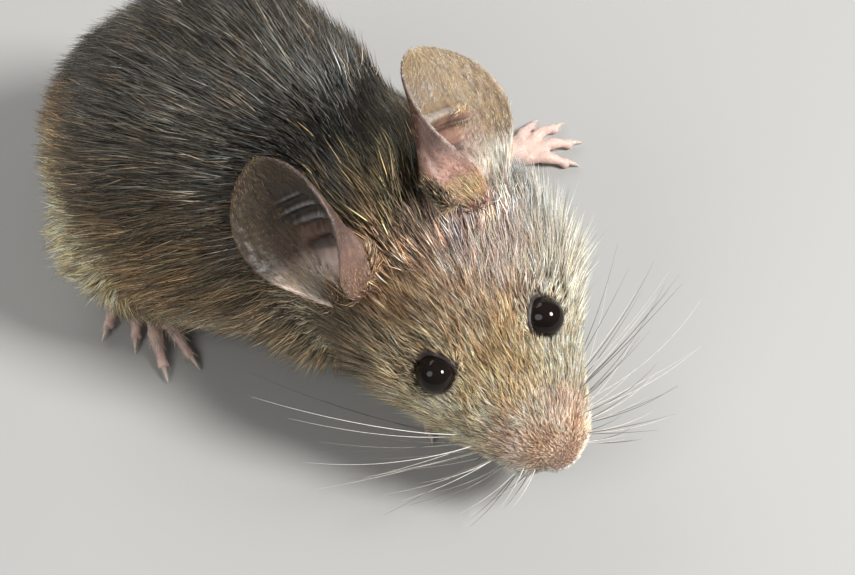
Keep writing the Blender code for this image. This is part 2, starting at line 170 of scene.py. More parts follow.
def point_tree(points: np.ndarray) -> KDTree:
    """A tree to find the nearest of these points with.

    Args:
        points: The points.

    Returns:
        The tree, with the points numbered in order.
    """
    tree = KDTree(len(points))
    for number, point in enumerate(points.tolist()):
        tree.insert(point, number)
    tree.balance()
    return tree


# Objects and meshes


def linked(name: str, data: bpy.types.ID) -> bpy.types.Object:
    """A new object of the scene with this mesh, camera or light.

    Args:
        name: Its name.
        data: What it shows.

    Returns:
        The object.
    """
    made = bpy.data.objects.new(name, data)
    bpy.context.scene.collection.objects.link(made)
    return made


def evaluated(obj: bpy.types.Object) -> bpy.types.Mesh:
    """A new mesh of an object as the viewport evaluates it, with its triangles found.

    Args:
        obj: The object.

    Returns:
        The mesh, which the caller removes.
    """
    graph = bpy.context.evaluated_depsgraph_get()
    mesh = bpy.data.meshes.new_from_object(obj.evaluated_get(graph), depsgraph=graph)
    mesh.calc_loop_triangles()
    return mesh


def table(items: bpy.types.bpy_prop_collection, name: str, width: int, kind: type = np.int32) -> np.ndarray:
    """One property of each of a mesh's items, in rows.

    Args:
        items: The items.
        name: The property.
        width: How many numbers each item has.
        kind: The kind of number.

    Returns:
        One row for each item.
    """
    values = np.empty(len(items) * width, kind)
    items.foreach_get(name, values)
    return values.reshape(-1, width)


def painted(mesh: bpy.types.Mesh, colours: np.ndarray) -> None:
    """Gives each point of a mesh its tint, as linear red, green and blue."""
    rows = np.column_stack([colours, np.ones(len(colours))]).astype(np.float32)
    mesh.attributes.new("tint", "FLOAT_COLOR", "POINT").data.foreach_set("color", rows.ravel())


# Surfaces


@dataclass
class Surface:
    """A triangle mesh held in arrays, in millimetres."""

    points: np.ndarray
    faces: np.ndarray

    @classmethod
    def of_object(cls, obj: bpy.types.Object, scale: float = 1.0) -> "Surface":
        """Reads an object as the viewport evaluates it.

        Args:
            obj: The object to read.
            scale: What its coordinates are multiplied by.

        Returns:
            Its surface.
        """
        mesh = evaluated(obj)
        points = table(mesh.vertices, "co", 3, np.float32).astype(float)
        faces = table(mesh.loop_triangles, "vertices", 3).astype(int)
        bpy.data.meshes.remove(mesh)
        return cls(points * scale, faces)

    @classmethod
    def joined(cls, parts: list["Surface"]) -> "Surface":
        """Several surfaces as one, not merged where they meet.

        Args:
            parts: The surfaces.

        Returns:
            The one surface.
        """
        starts = np.cumsum([0] + [len(part.points) for part in parts[:-1]])
        faces = [part.faces + start for part, start in zip(parts, starts)]
        return cls(np.vstack([part.points for part in parts]), np.vstack(faces))

    def welded(self, within: float = 0.002) -> "Surface":
        """The surface with points this near each other made one.

        Args:
            within: How near, in millimetres.

        Returns:
            The surface without the faces that this closes.
        """
        keys = np.round(self.points / within).astype(np.int64)
        _, first, index = np.unique(keys, axis=0, return_index=True, return_inverse=True)
        faces = index.reshape(-1)[self.faces]
        whole = (faces != np.roll(faces, 1, axis=1)).all(axis=1)
        return Surface(self.points[first], faces[whole])

    def face_normals(self) -> np.ndarray:
        """Each face's normal, as long as twice its area."""
        a, b, c = (self.points[self.faces[:, k]] for k in range(3))
        return np.cross(b - a, c - a)

    def normals(self) -> np.ndarray:
        """The normal at each point, from the faces round it.

        Returns:
            One row for each point.
        """
        spread = np.repeat(self.face_normals(), 3, axis=0).T
        corners, count = self.faces.ravel(), len(self.points)
        return unit(np.stack([np.bincount(corners, column, count) for column in spread], axis=1))

    def edges(self) -> np.ndarray:
        """Each edge once, as two point numbers."""
        ends = np.concatenate([self.faces[:, [0, 1]], self.faces[:, [1, 2]], self.faces[:, [2, 0]]])
        return np.unique(np.sort(ends, axis=1), axis=0)

    def averaged(self, values: np.ndarray, rounds: int, strength: np.ndarray | float = 0.5) -> np.ndarray:
        """Values at the points, drawn towards the mean of their neighbours.

        Args:
            values: One row for each point.
            rounds: How many times it is done.
            strength: How far they go each time, for all or for each point.

        Returns:
            The smoother values.
        """
        edges = self.edges()
        count = len(self.points)
        here = np.concatenate([edges[:, 0], edges[:, 1]])
        there = np.concatenate([edges[:, 1], edges[:, 0]])
        share = np.maximum(np.bincount(here, minlength=count), 1)[:, None]
        weight = np.broadcast_to(np.asarray(strength, float).reshape(-1, 1), (count, 1))
        values = values.astype(float).reshape(count, -1)
        for _ in range(rounds):
            sums = [np.bincount(here, column[there], count) for column in values.T]
            values = values + (np.stack(sums, axis=1) / share - values) * weight
        return values

    def relaxed(self, rounds: int, strength: np.ndarray | float = 0.5) -> "Surface":
        """The surface with its points drawn towards their neighbours."""
        return Surface(self.averaged(self.points, rounds, strength), self.faces)

    def grown(self, distances: np.ndarray | float) -> "Surface":
        """The surface with its points moved out along their normals."""
        moved = self.points + self.normals() * np.asarray(distances).reshape(-1, 1)
        return Surface(moved, self.faces)

    def remeshed(self, voxel: float) -> "Surface":
        """One even surface round everything here, with features down to about the voxel size.

        Args:
            voxel: The voxels' size, in millimetres.

        Returns:
            The new surface.
        """
        guide = linked("remesh_guide", self.mesh("remesh_guide"))
        modifier = guide.modifiers.new("remesh", "REMESH")
        modifier.mode = "VOXEL"
        modifier.voxel_size = voxel
        made = Surface.of_object(guide)
        bpy.data.meshes.remove(guide.data)
        return made

    def mesh(self, name: str, scale: float = 1.0) -> bpy.types.Mesh:
        """A Blender mesh of the surface, smooth shaded.

        Args:
            name: The mesh's name.
            scale: What the coordinates are multiplied by.

        Returns:
            The mesh.
        """
        mesh = bpy.data.meshes.new(name)
        mesh.vertices.add(len(self.points))
        mesh.vertices.foreach_set("co", (self.points * scale).astype(np.float32).ravel())
        mesh.loops.add(self.faces.size)
        mesh.loops.foreach_set("vertex_index", self.faces.astype(np.int32).ravel())
        mesh.polygons.add(len(self.faces))
        mesh.polygons.foreach_set("loop_start", np.arange(0, self.faces.size, 3, dtype=np.int32))
        mesh.update(calc_edges=True)
        mesh.shade_smooth()
        return mesh

    def lookup(self) -> BVHTree:
        """A tree to find the nearest face with."""
        return BVHTree.FromPolygons(self.points.tolist(), self.faces.tolist())


def grid_faces(rows: int, columns: int, closed: bool) -> np.ndarray:
    """The triangles between points set out in rows, whose columns may close on themselves.

    Args:
        rows: How many rows there are.
        columns: How many points each row has.
        closed: Whether the columns close.

    Returns:
        Three point numbers for each triangle.
    """
    i, j = np.meshgrid(np.arange(rows - 1), np.arange(columns if closed else columns - 1), indexing="ij")
    after = (j + 1) % columns
    a, b = i * columns + j, i * columns + after
    c, d = (i + 1) * columns + after, (i + 1) * columns + j
    quads = np.stack([a, b, c, d], axis=-1).reshape(-1, 4)
    return np.vstack([quads[:, [0, 1, 2]], quads[:, [0, 2, 3]]])


def tube(path: np.ndarray, radii: np.ndarray, sides: int, steps: int = 4) -> Surface:
    """A closed round tube that tapers along a smooth path.

    Args:
        path: The points it passes through.
        radii: Its radius at each.
        sides: How many sides it has.
        steps: How many parts each interval is divided into.

    Returns:
        Its surface, facing out.
    """
    rows = smooth_rows(np.column_stack([path, radii]), steps)
    points, radius = rows[:, :3], rows[:, 3]
    along = unit(np.gradient(points, axis=0))
    side = np.empty_like(points)
    first = np.cross(along[0], UP if abs(along[0][2]) < 0.9 else np.array((1.0, 0.0, 0.0)))
    side[0] = unit(first)
    for k in range(1, len(points)):
        side[k] = square_to(side[k - 1], along[k])
    other = np.cross(along, side)
    angles = 2 * math.pi * np.arange(sides) / sides
    rings = points[:, None] + radius[:, None, None] * (
        np.cos(angles)[None, :, None] * side[:, None] + np.sin(angles)[None, :, None] * other[:, None]
    )
    caps = np.stack([points[0], points[-1]])
    faces = grid_faces(len(points), sides, True)
    ring = np.arange(sides)
    after = (ring + 1) % sides
    base = len(points) * sides
    start = np.stack([np.full(sides, base), after, ring], axis=1)
    last = (len(points) - 1) * sides
    end = np.stack([np.full(sides, base + 1), last + ring, last + after], axis=1)
    return Surface(np.vstack([rings.reshape(-1, 3), caps]), np.vstack([faces, start, end]))


def ball(
    centre: np.ndarray, radii: tuple | float, axes: np.ndarray = STRAIGHT, fineness: int = 24
) -> Surface:
    """A closed ellipsoid whose radii lie along three axes, given as rows.

    Args:
        centre: Its middle.
        radii: Its radii, or the radius of a sphere.
        axes: The axes.
        fineness: How many sides it has.

    Returns:
        Its surface.
    """
    heights = np.linspace(-1.0, 1.0, fineness // 2 + 1) * math.pi / 2
    path = np.column_stack([np.zeros_like(heights), np.zeros_like(heights), np.sin(heights)])
    made = tube(path, np.maximum(np.cos(heights), 0.02), fineness, 1)
    return Surface(centre + (made.points * radii) @ axes, made.faces)


# The body's own frame and lines


def node_middle(name: str) -> np.ndarray:
    """The middle of a node's box, in millimetres."""
    low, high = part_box(name)
    return np.array((low + high) / 2) / MM


# The middle between the eyes, measured from under the hips, and how the head is held.
EYES_FROM_HIPS = np.array((-6.3, -32.2, 16.0))
HIPS = (node_middle("eye_left") + node_middle("eye_right")) / 2 - EYES_FROM_HIPS
HEAD_TURN = math.radians(-28.5)  # about Z, to the mouse's right
HEAD_DIP = math.radians(28.2)  # about X, nose down
HEAD_LEAN = math.radians(-10.0)  # about Y, the left side raised


def from_hips(points: np.ndarray | list) -> np.ndarray:
    """Points measured from under the hips, moved to where the frame has them."""
    return np.asarray(points, float) + HIPS


def snout_aside(forward: np.ndarray) -> np.ndarray:
    """How far to its left the snout is turned at places forward of the eyes."""
    return 1.6 * np.clip((forward - 4.0) / 8.0, 0.0, None) ** 1.3


@dataclass(frozen=True)
class HeadFrame:
    """The head's own axes, with their origin midway between the eyes.

    A place in it is given as left of the middle, which turns aside in the snout, forward along
    the brow, and up out of the crown.
    """

    origin: np.ndarray
    axes: np.ndarray

    @classmethod
    def held(cls) -> "HeadFrame":
        """The frame of the head as it is held.

        Returns:
            The frame.
        """
        pose = (
            Matrix.Rotation(HEAD_TURN, 3, "Z")
            @ Matrix.Rotation(HEAD_DIP, 3, "X")
            @ Matrix.Rotation(HEAD_LEAN, 3, "Y")
        )
        turn = np.array(pose)
        return cls(EYES_FROM_HIPS + HIPS, np.stack([turn[:, 0], -turn[:, 1], turn[:, 2]]))

    def place(self, local: np.ndarray | list | tuple) -> np.ndarray:
        """Places in the head as points of the model.

        Args:
            local: The places.

        Returns:
            The points.
        """
        local = np.array(local, float)
        local[..., 0] += snout_aside(local[..., 1])
        return self.origin + local @ self.axes

    def local(self, points: np.ndarray) -> np.ndarray:
        """Points of the model as places in the head.

        Args:
            points: The points.

        Returns:
            The places.
        """
        found = (points - self.origin) @ self.axes.T
        found[..., 0] -= snout_aside(found[..., 1])
        return found

    def aim(self, local: np.ndarray | list | tuple) -> np.ndarray:
        """A direction in the head as one of the model, of length 1."""
        return unit(np.asarray(local, float) @ self.axes)


HEAD = HeadFrame.held()


@dataclass
class Nearest:
    """Where points lie beside a line: how far outside its flesh, how far along, and its direction."""

    outside: np.ndarray
    along: np.ndarray
    heading: np.ndarray


@dataclass
class Line:
    """A line through a part of the body, with the flesh's radius along it."""

    area: Area
    points: np.ndarray
    radii: np.ndarray

    def nearest(self, points: np.ndarray) -> Nearest:
        """Where each point lies beside this line.

        Args:
            points: The points to look at.

        Returns:
            Their places beside it.
        """
        count = len(points)
        best = Nearest(np.full(count, np.inf), np.zeros(count), np.zeros((count, 3)))
        steps = np.linalg.norm(np.diff(self.points, axis=0), axis=1)
        starts = np.concatenate([[0.0], np.cumsum(steps)])
        for k, step in enumerate(steps):
            a, b = self.points[k], self.points[k + 1]
            t = np.clip((points - a) @ (b - a) / step**2, 0.0, 1.0)
            reach = np.linalg.norm(points - (a + t[:, None] * (b - a)), axis=1)
            outside = reach - (self.radii[k] * (1 - t) + self.radii[k + 1] * t)
            nearer = outside < best.outside
            best.outside[nearer] = outside[nearer]
            best.along[nearer] = (starts[k] + t[nearer] * step) / starts[-1]
            best.heading[nearer] = (b - a) / step
        return best


# The limbs' sides, lines and radii, given for the right side, from the hips. A leg runs from inside
# the trunk to its foot, and a shank from the knee to the heel.
LIMBS = [
    (Side.RIGHT, [(-7.2, 6.6, 9.2), (-9.4, 3, 9.2), (-10, -1, 8), (-9.6, -4, 5.6)], [5.6, 6.1, 5.4, 3.5]),
    (Side.LEFT, [(-7.2, 6, 9.2), (-9.4, 2.4, 9.2), (-9.8, -1.6, 8), (-9.4, -4.8, 5.6)], [5.6, 6.1, 5.4, 3.5]),
    (
        Side.RIGHT,
        [(-5, -15.5, 11.5), (-7.6, -14.6, 8.4), (-6.4, -18.2, 5.2), (-4.6, -21.8, 3)],
        [4.6, 3.9, 2.7, 1.8],
    ),
    (
        Side.LEFT,
        [(-5.5, -15, 12), (-10.5, -14.2, 9.6), (-14.4, -16, 6), (-18.3, -18.4, 3.1)],
        [4.6, 3.9, 2.6, 1.75],
    ),
    (Side.RIGHT, [(-10, -4, 5.6), (-7.4, 2, 3.8), (-4.6, 7.6, 2.6)], [3.2, 2.4, 1.7]),
    (Side.LEFT, [(-9.4, -4.4, 5.6), (-7.2, 1.2, 3.8), (-4.8, 6.6, 2.6)], [3.2, 2.4, 1.7]),
]
TAIL_PATH = [
    (0.0, 12.6, 8.6),
    (1.4, 15.8, 4.6),
    (5.0, 17.9, 2.2),
    (10.4, 18.2, 1.7),
    (16.4, 16.8, 1.6),
    (22.4, 14.0, 1.5),
    (30.0, 12.2, 1.4),
    (37.8, 14.4, 1.27),
    (43.8, 20.2, 1.13),
    (47.4, 28.2, 0.97),
    (48.0, 37.2, 0.8),
    (45.6, 45.4, 0.6),
]
TAIL_RADII = [3.0, 2.3, 1.85, 1.75, 1.68, 1.6, 1.5, 1.37, 1.23, 1.07, 0.9, 0.65]


def on_side(points: list, side: Side) -> np.ndarray:
    """Points given for the right side, from the hips, moved to a side of the model."""
    return from_hips(np.asarray(points, float) * (-side.value, 1.0, 1.0))


class PawKind(Enum):
    """A kind of foot: its core's radii, its toes' radii and the length of its claws."""

    FORE = ((1.25, 1.35, 1.55), (0.62, 0.55, 0.46), 1.2)
    HIND = ((1.35, 1.45, 1.6, 1.75), (0.75, 0.62, 0.52), 1.5)

    @property
    def word(self) -> str:
        """The kind's name as the nodes spell it."""
        return self.name.lower()

    @property
    def core_radii(self) -> np.ndarray:
        """The radii of the sole's core, from heel to knuckles."""
        return np.array(self.value[0])

    @property
    def toe_radii(self) -> np.ndarray:
        """The radii of a toe, from knuckle to tip."""
        return np.array(self.value[1])

    @property
    def claw_length(self) -> float:
        """How far a claw reaches beyond its toe."""
        return self.value[2]


@dataclass
class Paw:
    """A foot: its sole's core from heel to knuckles, and its toes from knuckle to tip."""

    kind: PawKind
    side: Side
    core: list
    toes: list
    knuckle_swell: float = 0.08
    tip_radii: tuple = (0.56, 0.56, 0.5)
    claw_radii: tuple = (0.24, 0.25, 0.15, 0.025)

    def toe_paths(self) -> list[np.ndarray]:
        """The line of each toe, from knuckle to tip."""
        return [on_side(toe, self.side) for toe in self.toes]

    def lines(self) -> list[Line]:
        """The lines through the sole and the toes."""
        found = [Line(Area.PAWS, on_side(self.core, self.side), self.kind.core_radii)]
        return found + [Line(Area.PAWS, path, self.kind.toe_radii) for path in self.toe_paths()]

    def flesh(self) -> list[Surface]:
        """The sole with its pads and the toes with their knuckles and tips.

        Returns:
            Its parts, not joined.
        """
        made = [tube(on_side(self.core, self.side), self.kind.core_radii - INSET, 16)]
        for path in self.toe_paths():
            rows = smooth_rows(np.column_stack([path, self.kind.toe_radii]), 4)
            phase = np.linspace(0.0, 1.0, len(rows))
            swell = self.knuckle_swell * (np.cos(phase * 4 * math.pi) - 0.3)
            made.append(tube(rows[:, :3], rows[:, 3] + swell, 12, 1))
            tip = path[-1] + (path[-2] - path[-1]) * 0.12
            made.append(ball(tip, self.tip_radii, fineness=12))
        return made

    def claws(self) -> Surface:
        """All the claws of this foot: thin cones that curve down to the floor.

        Returns:
            The claws as one surface.
        """
        made = []
        for path in self.toe_paths():
            ahead = unit(unit(path[-1] - path[-2]) * (1.0, 1.0, 0.25))
            tip, length = path[-1], self.kind.claw_length
            points = np.array(
                [
                    tip - ahead * 0.35 + UP * 0.12,
                    tip + ahead * (0.2 * length) + UP * 0.2,
                    tip + ahead * (0.6 * length) + UP * 0.14,
                    tip + ahead * length - UP * 0.12,
                ]
            )
            points[-1][2] = max(points[-1][2], 0.1)
            made.append(tube(points, np.array(self.claw_radii), 10))
        return Surface.joined(made)


PAWS = [
    Paw(
        PawKind.HIND, Side.RIGHT,
        [(-3.6, 9.0, 1.9), (-5.6, 6.2, 1.7), (-8.2, 2.9, 1.5), (-10.2, 0.4, 1.25)],
        [
            [(-9.0, 2.9, 1.2), (-11.6, 2.9, 1.15), (-13.5, 2.5, 0.46)],
            [(-9.6, 1.2, 1.2), (-11.6, 0.6, 1.3), (-13.2, -0.3, 0.46)],
            [(-10.2, 0.0, 1.2), (-12.6, -2.1, 1.3), (-14.5, -4.1, 0.46)],
            [(-9.8, -0.7, 1.2), (-11.3, -3.3, 1.3), (-12.4, -5.6, 0.46)],
            [(-8.6, 0.2, 1.1), (-9.1, -2.2, 1.1), (-9.2, -4.2, 0.46)],
        ],
    ),
    Paw(
        PawKind.HIND, Side.LEFT,
        [(-3.9, 8.0, 1.9), (-5.4, 4.8, 1.7), (-7.4, 1.1, 1.5), (-9.0, -1.7, 1.25)],
        [
            [(-8.2, 1.0, 1.2), (-10.8, 0.3, 1.15), (-12.6, -0.7, 0.46)],
            [(-9.0, -1.2, 1.2), (-11.4, -3.0, 1.25), (-13.2, -4.6, 0.46)],
            [(-9.0, -2.0, 1.2), (-10.8, -4.6, 1.3), (-12.0, -7.0, 0.46)],
            [(-8.4, -2.6, 1.2), (-9.3, -5.4, 1.3), (-9.9, -7.9, 0.46)],
            [(-7.4, -1.6, 1.1), (-7.2, -4.0, 1.1), (-6.9, -6.0, 0.46)],
        ],
    ),
    Paw(
        PawKind.FORE, Side.RIGHT,
        [(-4.4, -22.0, 2.3), (-4.6, -24.4, 1.45), (-4.9, -26.2, 1.1)],
        [
            [(-5.6, -25.6, 1.0), (-7.2, -26.7, 1.1), (-8.3, -27.7, 0.4)],
            [(-5.3, -26.4, 1.0), (-6.3, -28.3, 1.2), (-6.9, -29.8, 0.4)],
            [(-4.8, -26.6, 1.0), (-4.8, -28.8, 1.2), (-4.8, -30.5, 0.4)],
            [(-4.1, -26.2, 1.0), (-3.4, -28.1, 1.1), (-2.9, -29.5, 0.4)],
        ],
    ),
    Paw(
        PawKind.FORE, Side.LEFT,
        [(-18.2, -18.4, 2.6), (-20.0, -19.4, 1.5), (-21.5, -20.4, 1.1)],
        [
            [(-21.2, -19.8, 1.0), (-23.2, -19.6, 1.1), (-24.7, -19.7, 0.4)],
            [(-21.8, -20.5, 1.0), (-24.0, -21.0, 1.2), (-25.7, -21.7, 0.4)],
            [(-21.7, -21.1, 1.0), (-23.5, -22.5, 1.2), (-24.8, -23.8, 0.4)],
            [(-20.9, -21.2, 1.0), (-22.0, -23.0, 1.1), (-22.7, -24.6, 0.4)],
        ],
    ),
]


@dataclass
class Ear:
    """One ear: a curled sheet with folds across its hollow, in the head's own axes."""

    side: Side
    root: tuple
    axis: tuple
    facing: tuple
    pouch: float  # how far the inner wall swells towards the crown
    # Folds that run in from the inner rim: place along the ear, height, thickness, and the places
    # around it, from outer to inner, where each begins and ends.
    folds: tuple
    length: float = 12.7
    pouch_place: float = 0.26
    pouch_reach: float = 0.38
    backward_bend: float = 1.6
    thickness: float = 0.5
    rim_thickness: float = 0.34
    rows: int = 64
    columns: int = 56
    # The outline: place along the ear, half its width round the curl, half angle of the curl.
    outline: tuple = (
        (-0.10, 2.6, 128.0),
        (0.00, 3.0, 124.0),
        (0.16, 4.1, 106.0),
        (0.34, 5.15, 80.0),
        (0.52, 5.6, 60.0),
        (0.70, 5.2, 47.0),
        (0.85, 4.05, 36.0),
        (0.95, 2.5, 26.0),
        (1.00, 1.2, 18.0),
    )

    def axes(self) -> tuple[np.ndarray, np.ndarray, np.ndarray]:
        """The ear's axis, the way its hollow faces, and the way across it, all in the model.

        Returns:
            The three directions, of length 1.
        """
        axis = unit(self.axis * self.side.mirror)
        facing = HEAD.aim(square_to(self.facing * self.side.mirror, axis))
        axis = HEAD.aim(axis)
        return axis, facing, np.cross(axis, facing)

    def sheet(self, along: np.ndarray, around: np.ndarray) -> np.ndarray:
        """The middle of the sheet.

        Args:
            along: From 0 at the root to 1 at the tip.
            around: From -1 at the outer rim to 1 at the inner rim.

        Returns:
            The points there.
        """
        axis, facing, across = self.axes()
        fine = smooth_rows(np.array(self.outline), 8)
        half_width = np.interp(along, fine[:, 0], fine[:, 1])
        angle = np.radians(np.interp(along, fine[:, 0], fine[:, 2]))
        radius = half_width / angle
        turn = angle * around
        root = HEAD.place(self.root * self.side.mirror)
        inward = across * -self.side.value
        lift = radius * (1 - np.cos(turn)) - self.backward_bend * np.maximum(along, 0.0) ** 2
        pouch = self.pouch * bell(along, self.pouch_place, self.pouch_reach)
        swell = pouch * np.sin(math.pi * np.maximum(around, 0.0))
        return (
            root
            + axis * (self.length * along)[..., None]
            + inward * (radius * np.sin(turn) + swell)[..., None]
            + facing * lift[..., None]
        )

    def relief(self, along: np.ndarray, around: np.ndarray) -> np.ndarray:
        """How far the folds stand out of the hollow's surface, in millimetres.

        Args:
            along: From 0 at the root to 1 at the tip.
            around: From -1 to 1, as for the sheet.

        Returns:
            One height for each place.
        """
        height = np.zeros_like(along)
        for place, tall, thick, begin, end in self.folds:
            slant = place - 0.06 * (1.0 - around)
            crest = bell(along, slant, thick) - 0.45 * bell(along, slant - 1.9 * thick, 0.8 * thick)
            span = ease(around, begin - 0.2, begin + 0.3) * ease(around, end, end - 0.18)
            height += tall * crest * span
        hollow = bell(along, 0.33, 0.07) * bell(around, 0.35, 0.4)
        lump = bell(along, 0.15, 0.10) * bell(around, 0.0, 0.35)
        return height - 0.35 * hollow + 0.6 * lump

    def flesh(self) -> Surface:
        """The ear as a closed sheet with thickness.

        Returns:
            Its surface, facing out.
        """
        along, around = np.meshgrid(
            np.linspace(-0.1, 1.0, self.rows), np.linspace(-1.0, 1.0, self.columns), indexing="ij"
        )
        middle = self.sheet(along, around)
        normal = unit(np.cross(np.gradient(middle, axis=0), np.gradient(middle, axis=1)))
        normal = normal * self.side.value
        edge = np.minimum(ease(np.abs(around), 1.0, 0.7), ease(along, 1.0, 0.85))
        half = (self.rim_thickness + (self.thickness - self.rim_thickness) * edge) / 2
        offset = normal * half[..., None]
        points = np.stack([middle + offset, middle - offset]).reshape(-1, 3)
        count = self.rows * self.columns
        faces = grid_faces(self.rows, self.columns, False)
        rim = self.rim_loop()
        after = np.roll(rim, -1)
        inner = np.stack([rim, after, after + count], axis=1)
        outer = np.stack([rim, after + count, rim + count], axis=1)
        made = Surface(points, np.vstack([faces, faces[:, ::-1] + count, inner, outer]))
        bm = bmesh.new()
        bm.from_mesh(made.mesh("ear_guide"))
        bmesh.ops.recalc_face_normals(bm, faces=bm.faces)
        made = Surface(
            np.array([v.co for v in bm.verts]), np.array([[v.index for v in f.verts] for f in bm.faces])
        )
        bm.free()
        return made

    def buttress(self) -> Surface:
        """The flesh that fills the crease between the inner wall and the crown.

        Returns:
            A tube along the crease.
        """
        along = np.linspace(0.04, 0.42, 12)
        around = np.linspace(0.52, 0.62, 12)
        path = self.sheet(along, around)
        step = 0.01
        run = self.sheet(along + step, around) - path
        turn = self.sheet(along, around + step) - path
        outward = -unit(np.cross(run, turn)) * self.side.value
        radii = np.interp(along, [0.04, 0.2, 0.42], [0.9, 0.9, 0.3])
        return tube(path + outward * (0.35 * radii)[:, None], radii, 14, 2)

    def rim_loop(self) -> np.ndarray:
        """The numbers of the grid's points round its border, in order."""
        numbers = np.arange(self.rows * self.columns).reshape(self.rows, self.columns)
        return np.concatenate([numbers[0, :-1], numbers[:-1, -1], numbers[-1, :0:-1], numbers[:0:-1, 0]])


EARS = [
    Ear(
        Side.LEFT,
        (5.3, -11.6, -0.7),
        (0.09, -0.98, 0.15),
        (0.60, 0.18, 0.78),
        3.3,
        ((0.60, 0.75, 0.034, -0.30, 0.98), (0.455, 0.45, 0.045, 0.0, 0.85)),
    ),
    Ear(
        Side.RIGHT,
        (8.3, -10.1, -0.7),
        (0.22, -0.86, 0.45),
        (0.60, 0.49, 0.63),
        1.7,
        (
            (0.77, 0.30, 0.020, -0.15, 0.60),
            (0.69, 0.36, 0.022, -0.20, 0.82),
            (0.595, 0.50, 0.026, -0.10, 0.95),
            (0.485, 0.55, 0.044, 0.00, 1.02),
        ),
    ),
]


@dataclass
class EarSpot:
    """For points near the skin: how far they are from an ear's middle sheet, and where on it."""

    apart: np.ndarray
    along: np.ndarray
    around: np.ndarray
    inside: np.ndarray
    heading: np.ndarray
    of_left: np.ndarray

    def of(self, ear: Ear) -> np.ndarray:
        """1 where the nearer ear is this one, and 0 elsewhere."""
        return (self.of_left == float(ear.side is Side.LEFT)).astype(float)

    @property
    def on(self) -> np.ndarray:
        """How far each point belongs to an ear, from 0 to 1."""
        allowed = 0.5 * ease(self.along, 0.3, 0.42)
        return ease(self.apart - allowed, 1.1, 0.7)

    @classmethod
    def find(
        cls, points: np.ndarray, normals: np.ndarray, reach: float = 3.2, fineness: int = 48
    ) -> "EarSpot":
        """Looks up points on the middle sheets of both ears.

        Args:
            points: The points of the skin.
            normals: The normals there.
            reach: How far from the ears the points are looked up.
            fineness: How many points of each sheet are tried along and around it.

        Returns:
            Their places on the ears.
        """
        count = len(points)
        flat, empty = np.zeros(count), np.zeros((count, 3))
        made = cls(np.full(count, reach), flat, flat.copy(), flat.copy(), empty, flat.copy())
        for ear in EARS:
            along, around = np.meshgrid(
                np.linspace(0.0, 1.0, fineness), np.linspace(-1.0, 1.0, fineness), indexing="ij"
            )
            middle = ear.sheet(along, around)
            run = (np.gradient(middle, axis=0) * (fineness - 1)).reshape(-1, 3)
            turn = (np.gradient(middle, axis=1) * (fineness - 1) / 2).reshape(-1, 3)
            hollow = unit(np.cross(unit(run), unit(turn))) * ear.side.value
            middle = middle.reshape(-1, 3)
            low, high = middle.min(axis=0) - reach, middle.max(axis=0) + reach
            near = np.flatnonzero(((points > low) & (points < high)).all(axis=1))
            tree = point_tree(middle)
            found = [tree.find(point)[1:] for point in points[near].tolist()]
            index = np.array([row[0] for row in found], int)
            apart = np.array([row[1] for row in found])
            better = apart < made.apart[near]
            where, index = near[better], index[better]
            off = points[where] - middle[index]
            on_run = (off * run[index]).sum(axis=1) / (run[index] ** 2).sum(axis=1)
            on_turn = (off * turn[index]).sum(axis=1) / (turn[index] ** 2).sum(axis=1)
            made.apart[where] = apart[better]
            made.along[where] = np.clip(along.ravel()[index] + on_run, 0.0, 1.0)
            made.around[where] = np.clip(around.ravel()[index] + on_turn, -1.0, 1.0)
            made.heading[where] = unit(run[index])
            made.inside[where] = (normals[where] * hollow[index]).sum(axis=1)
            made.of_left[where] = float(ear.side is Side.LEFT)
        return made


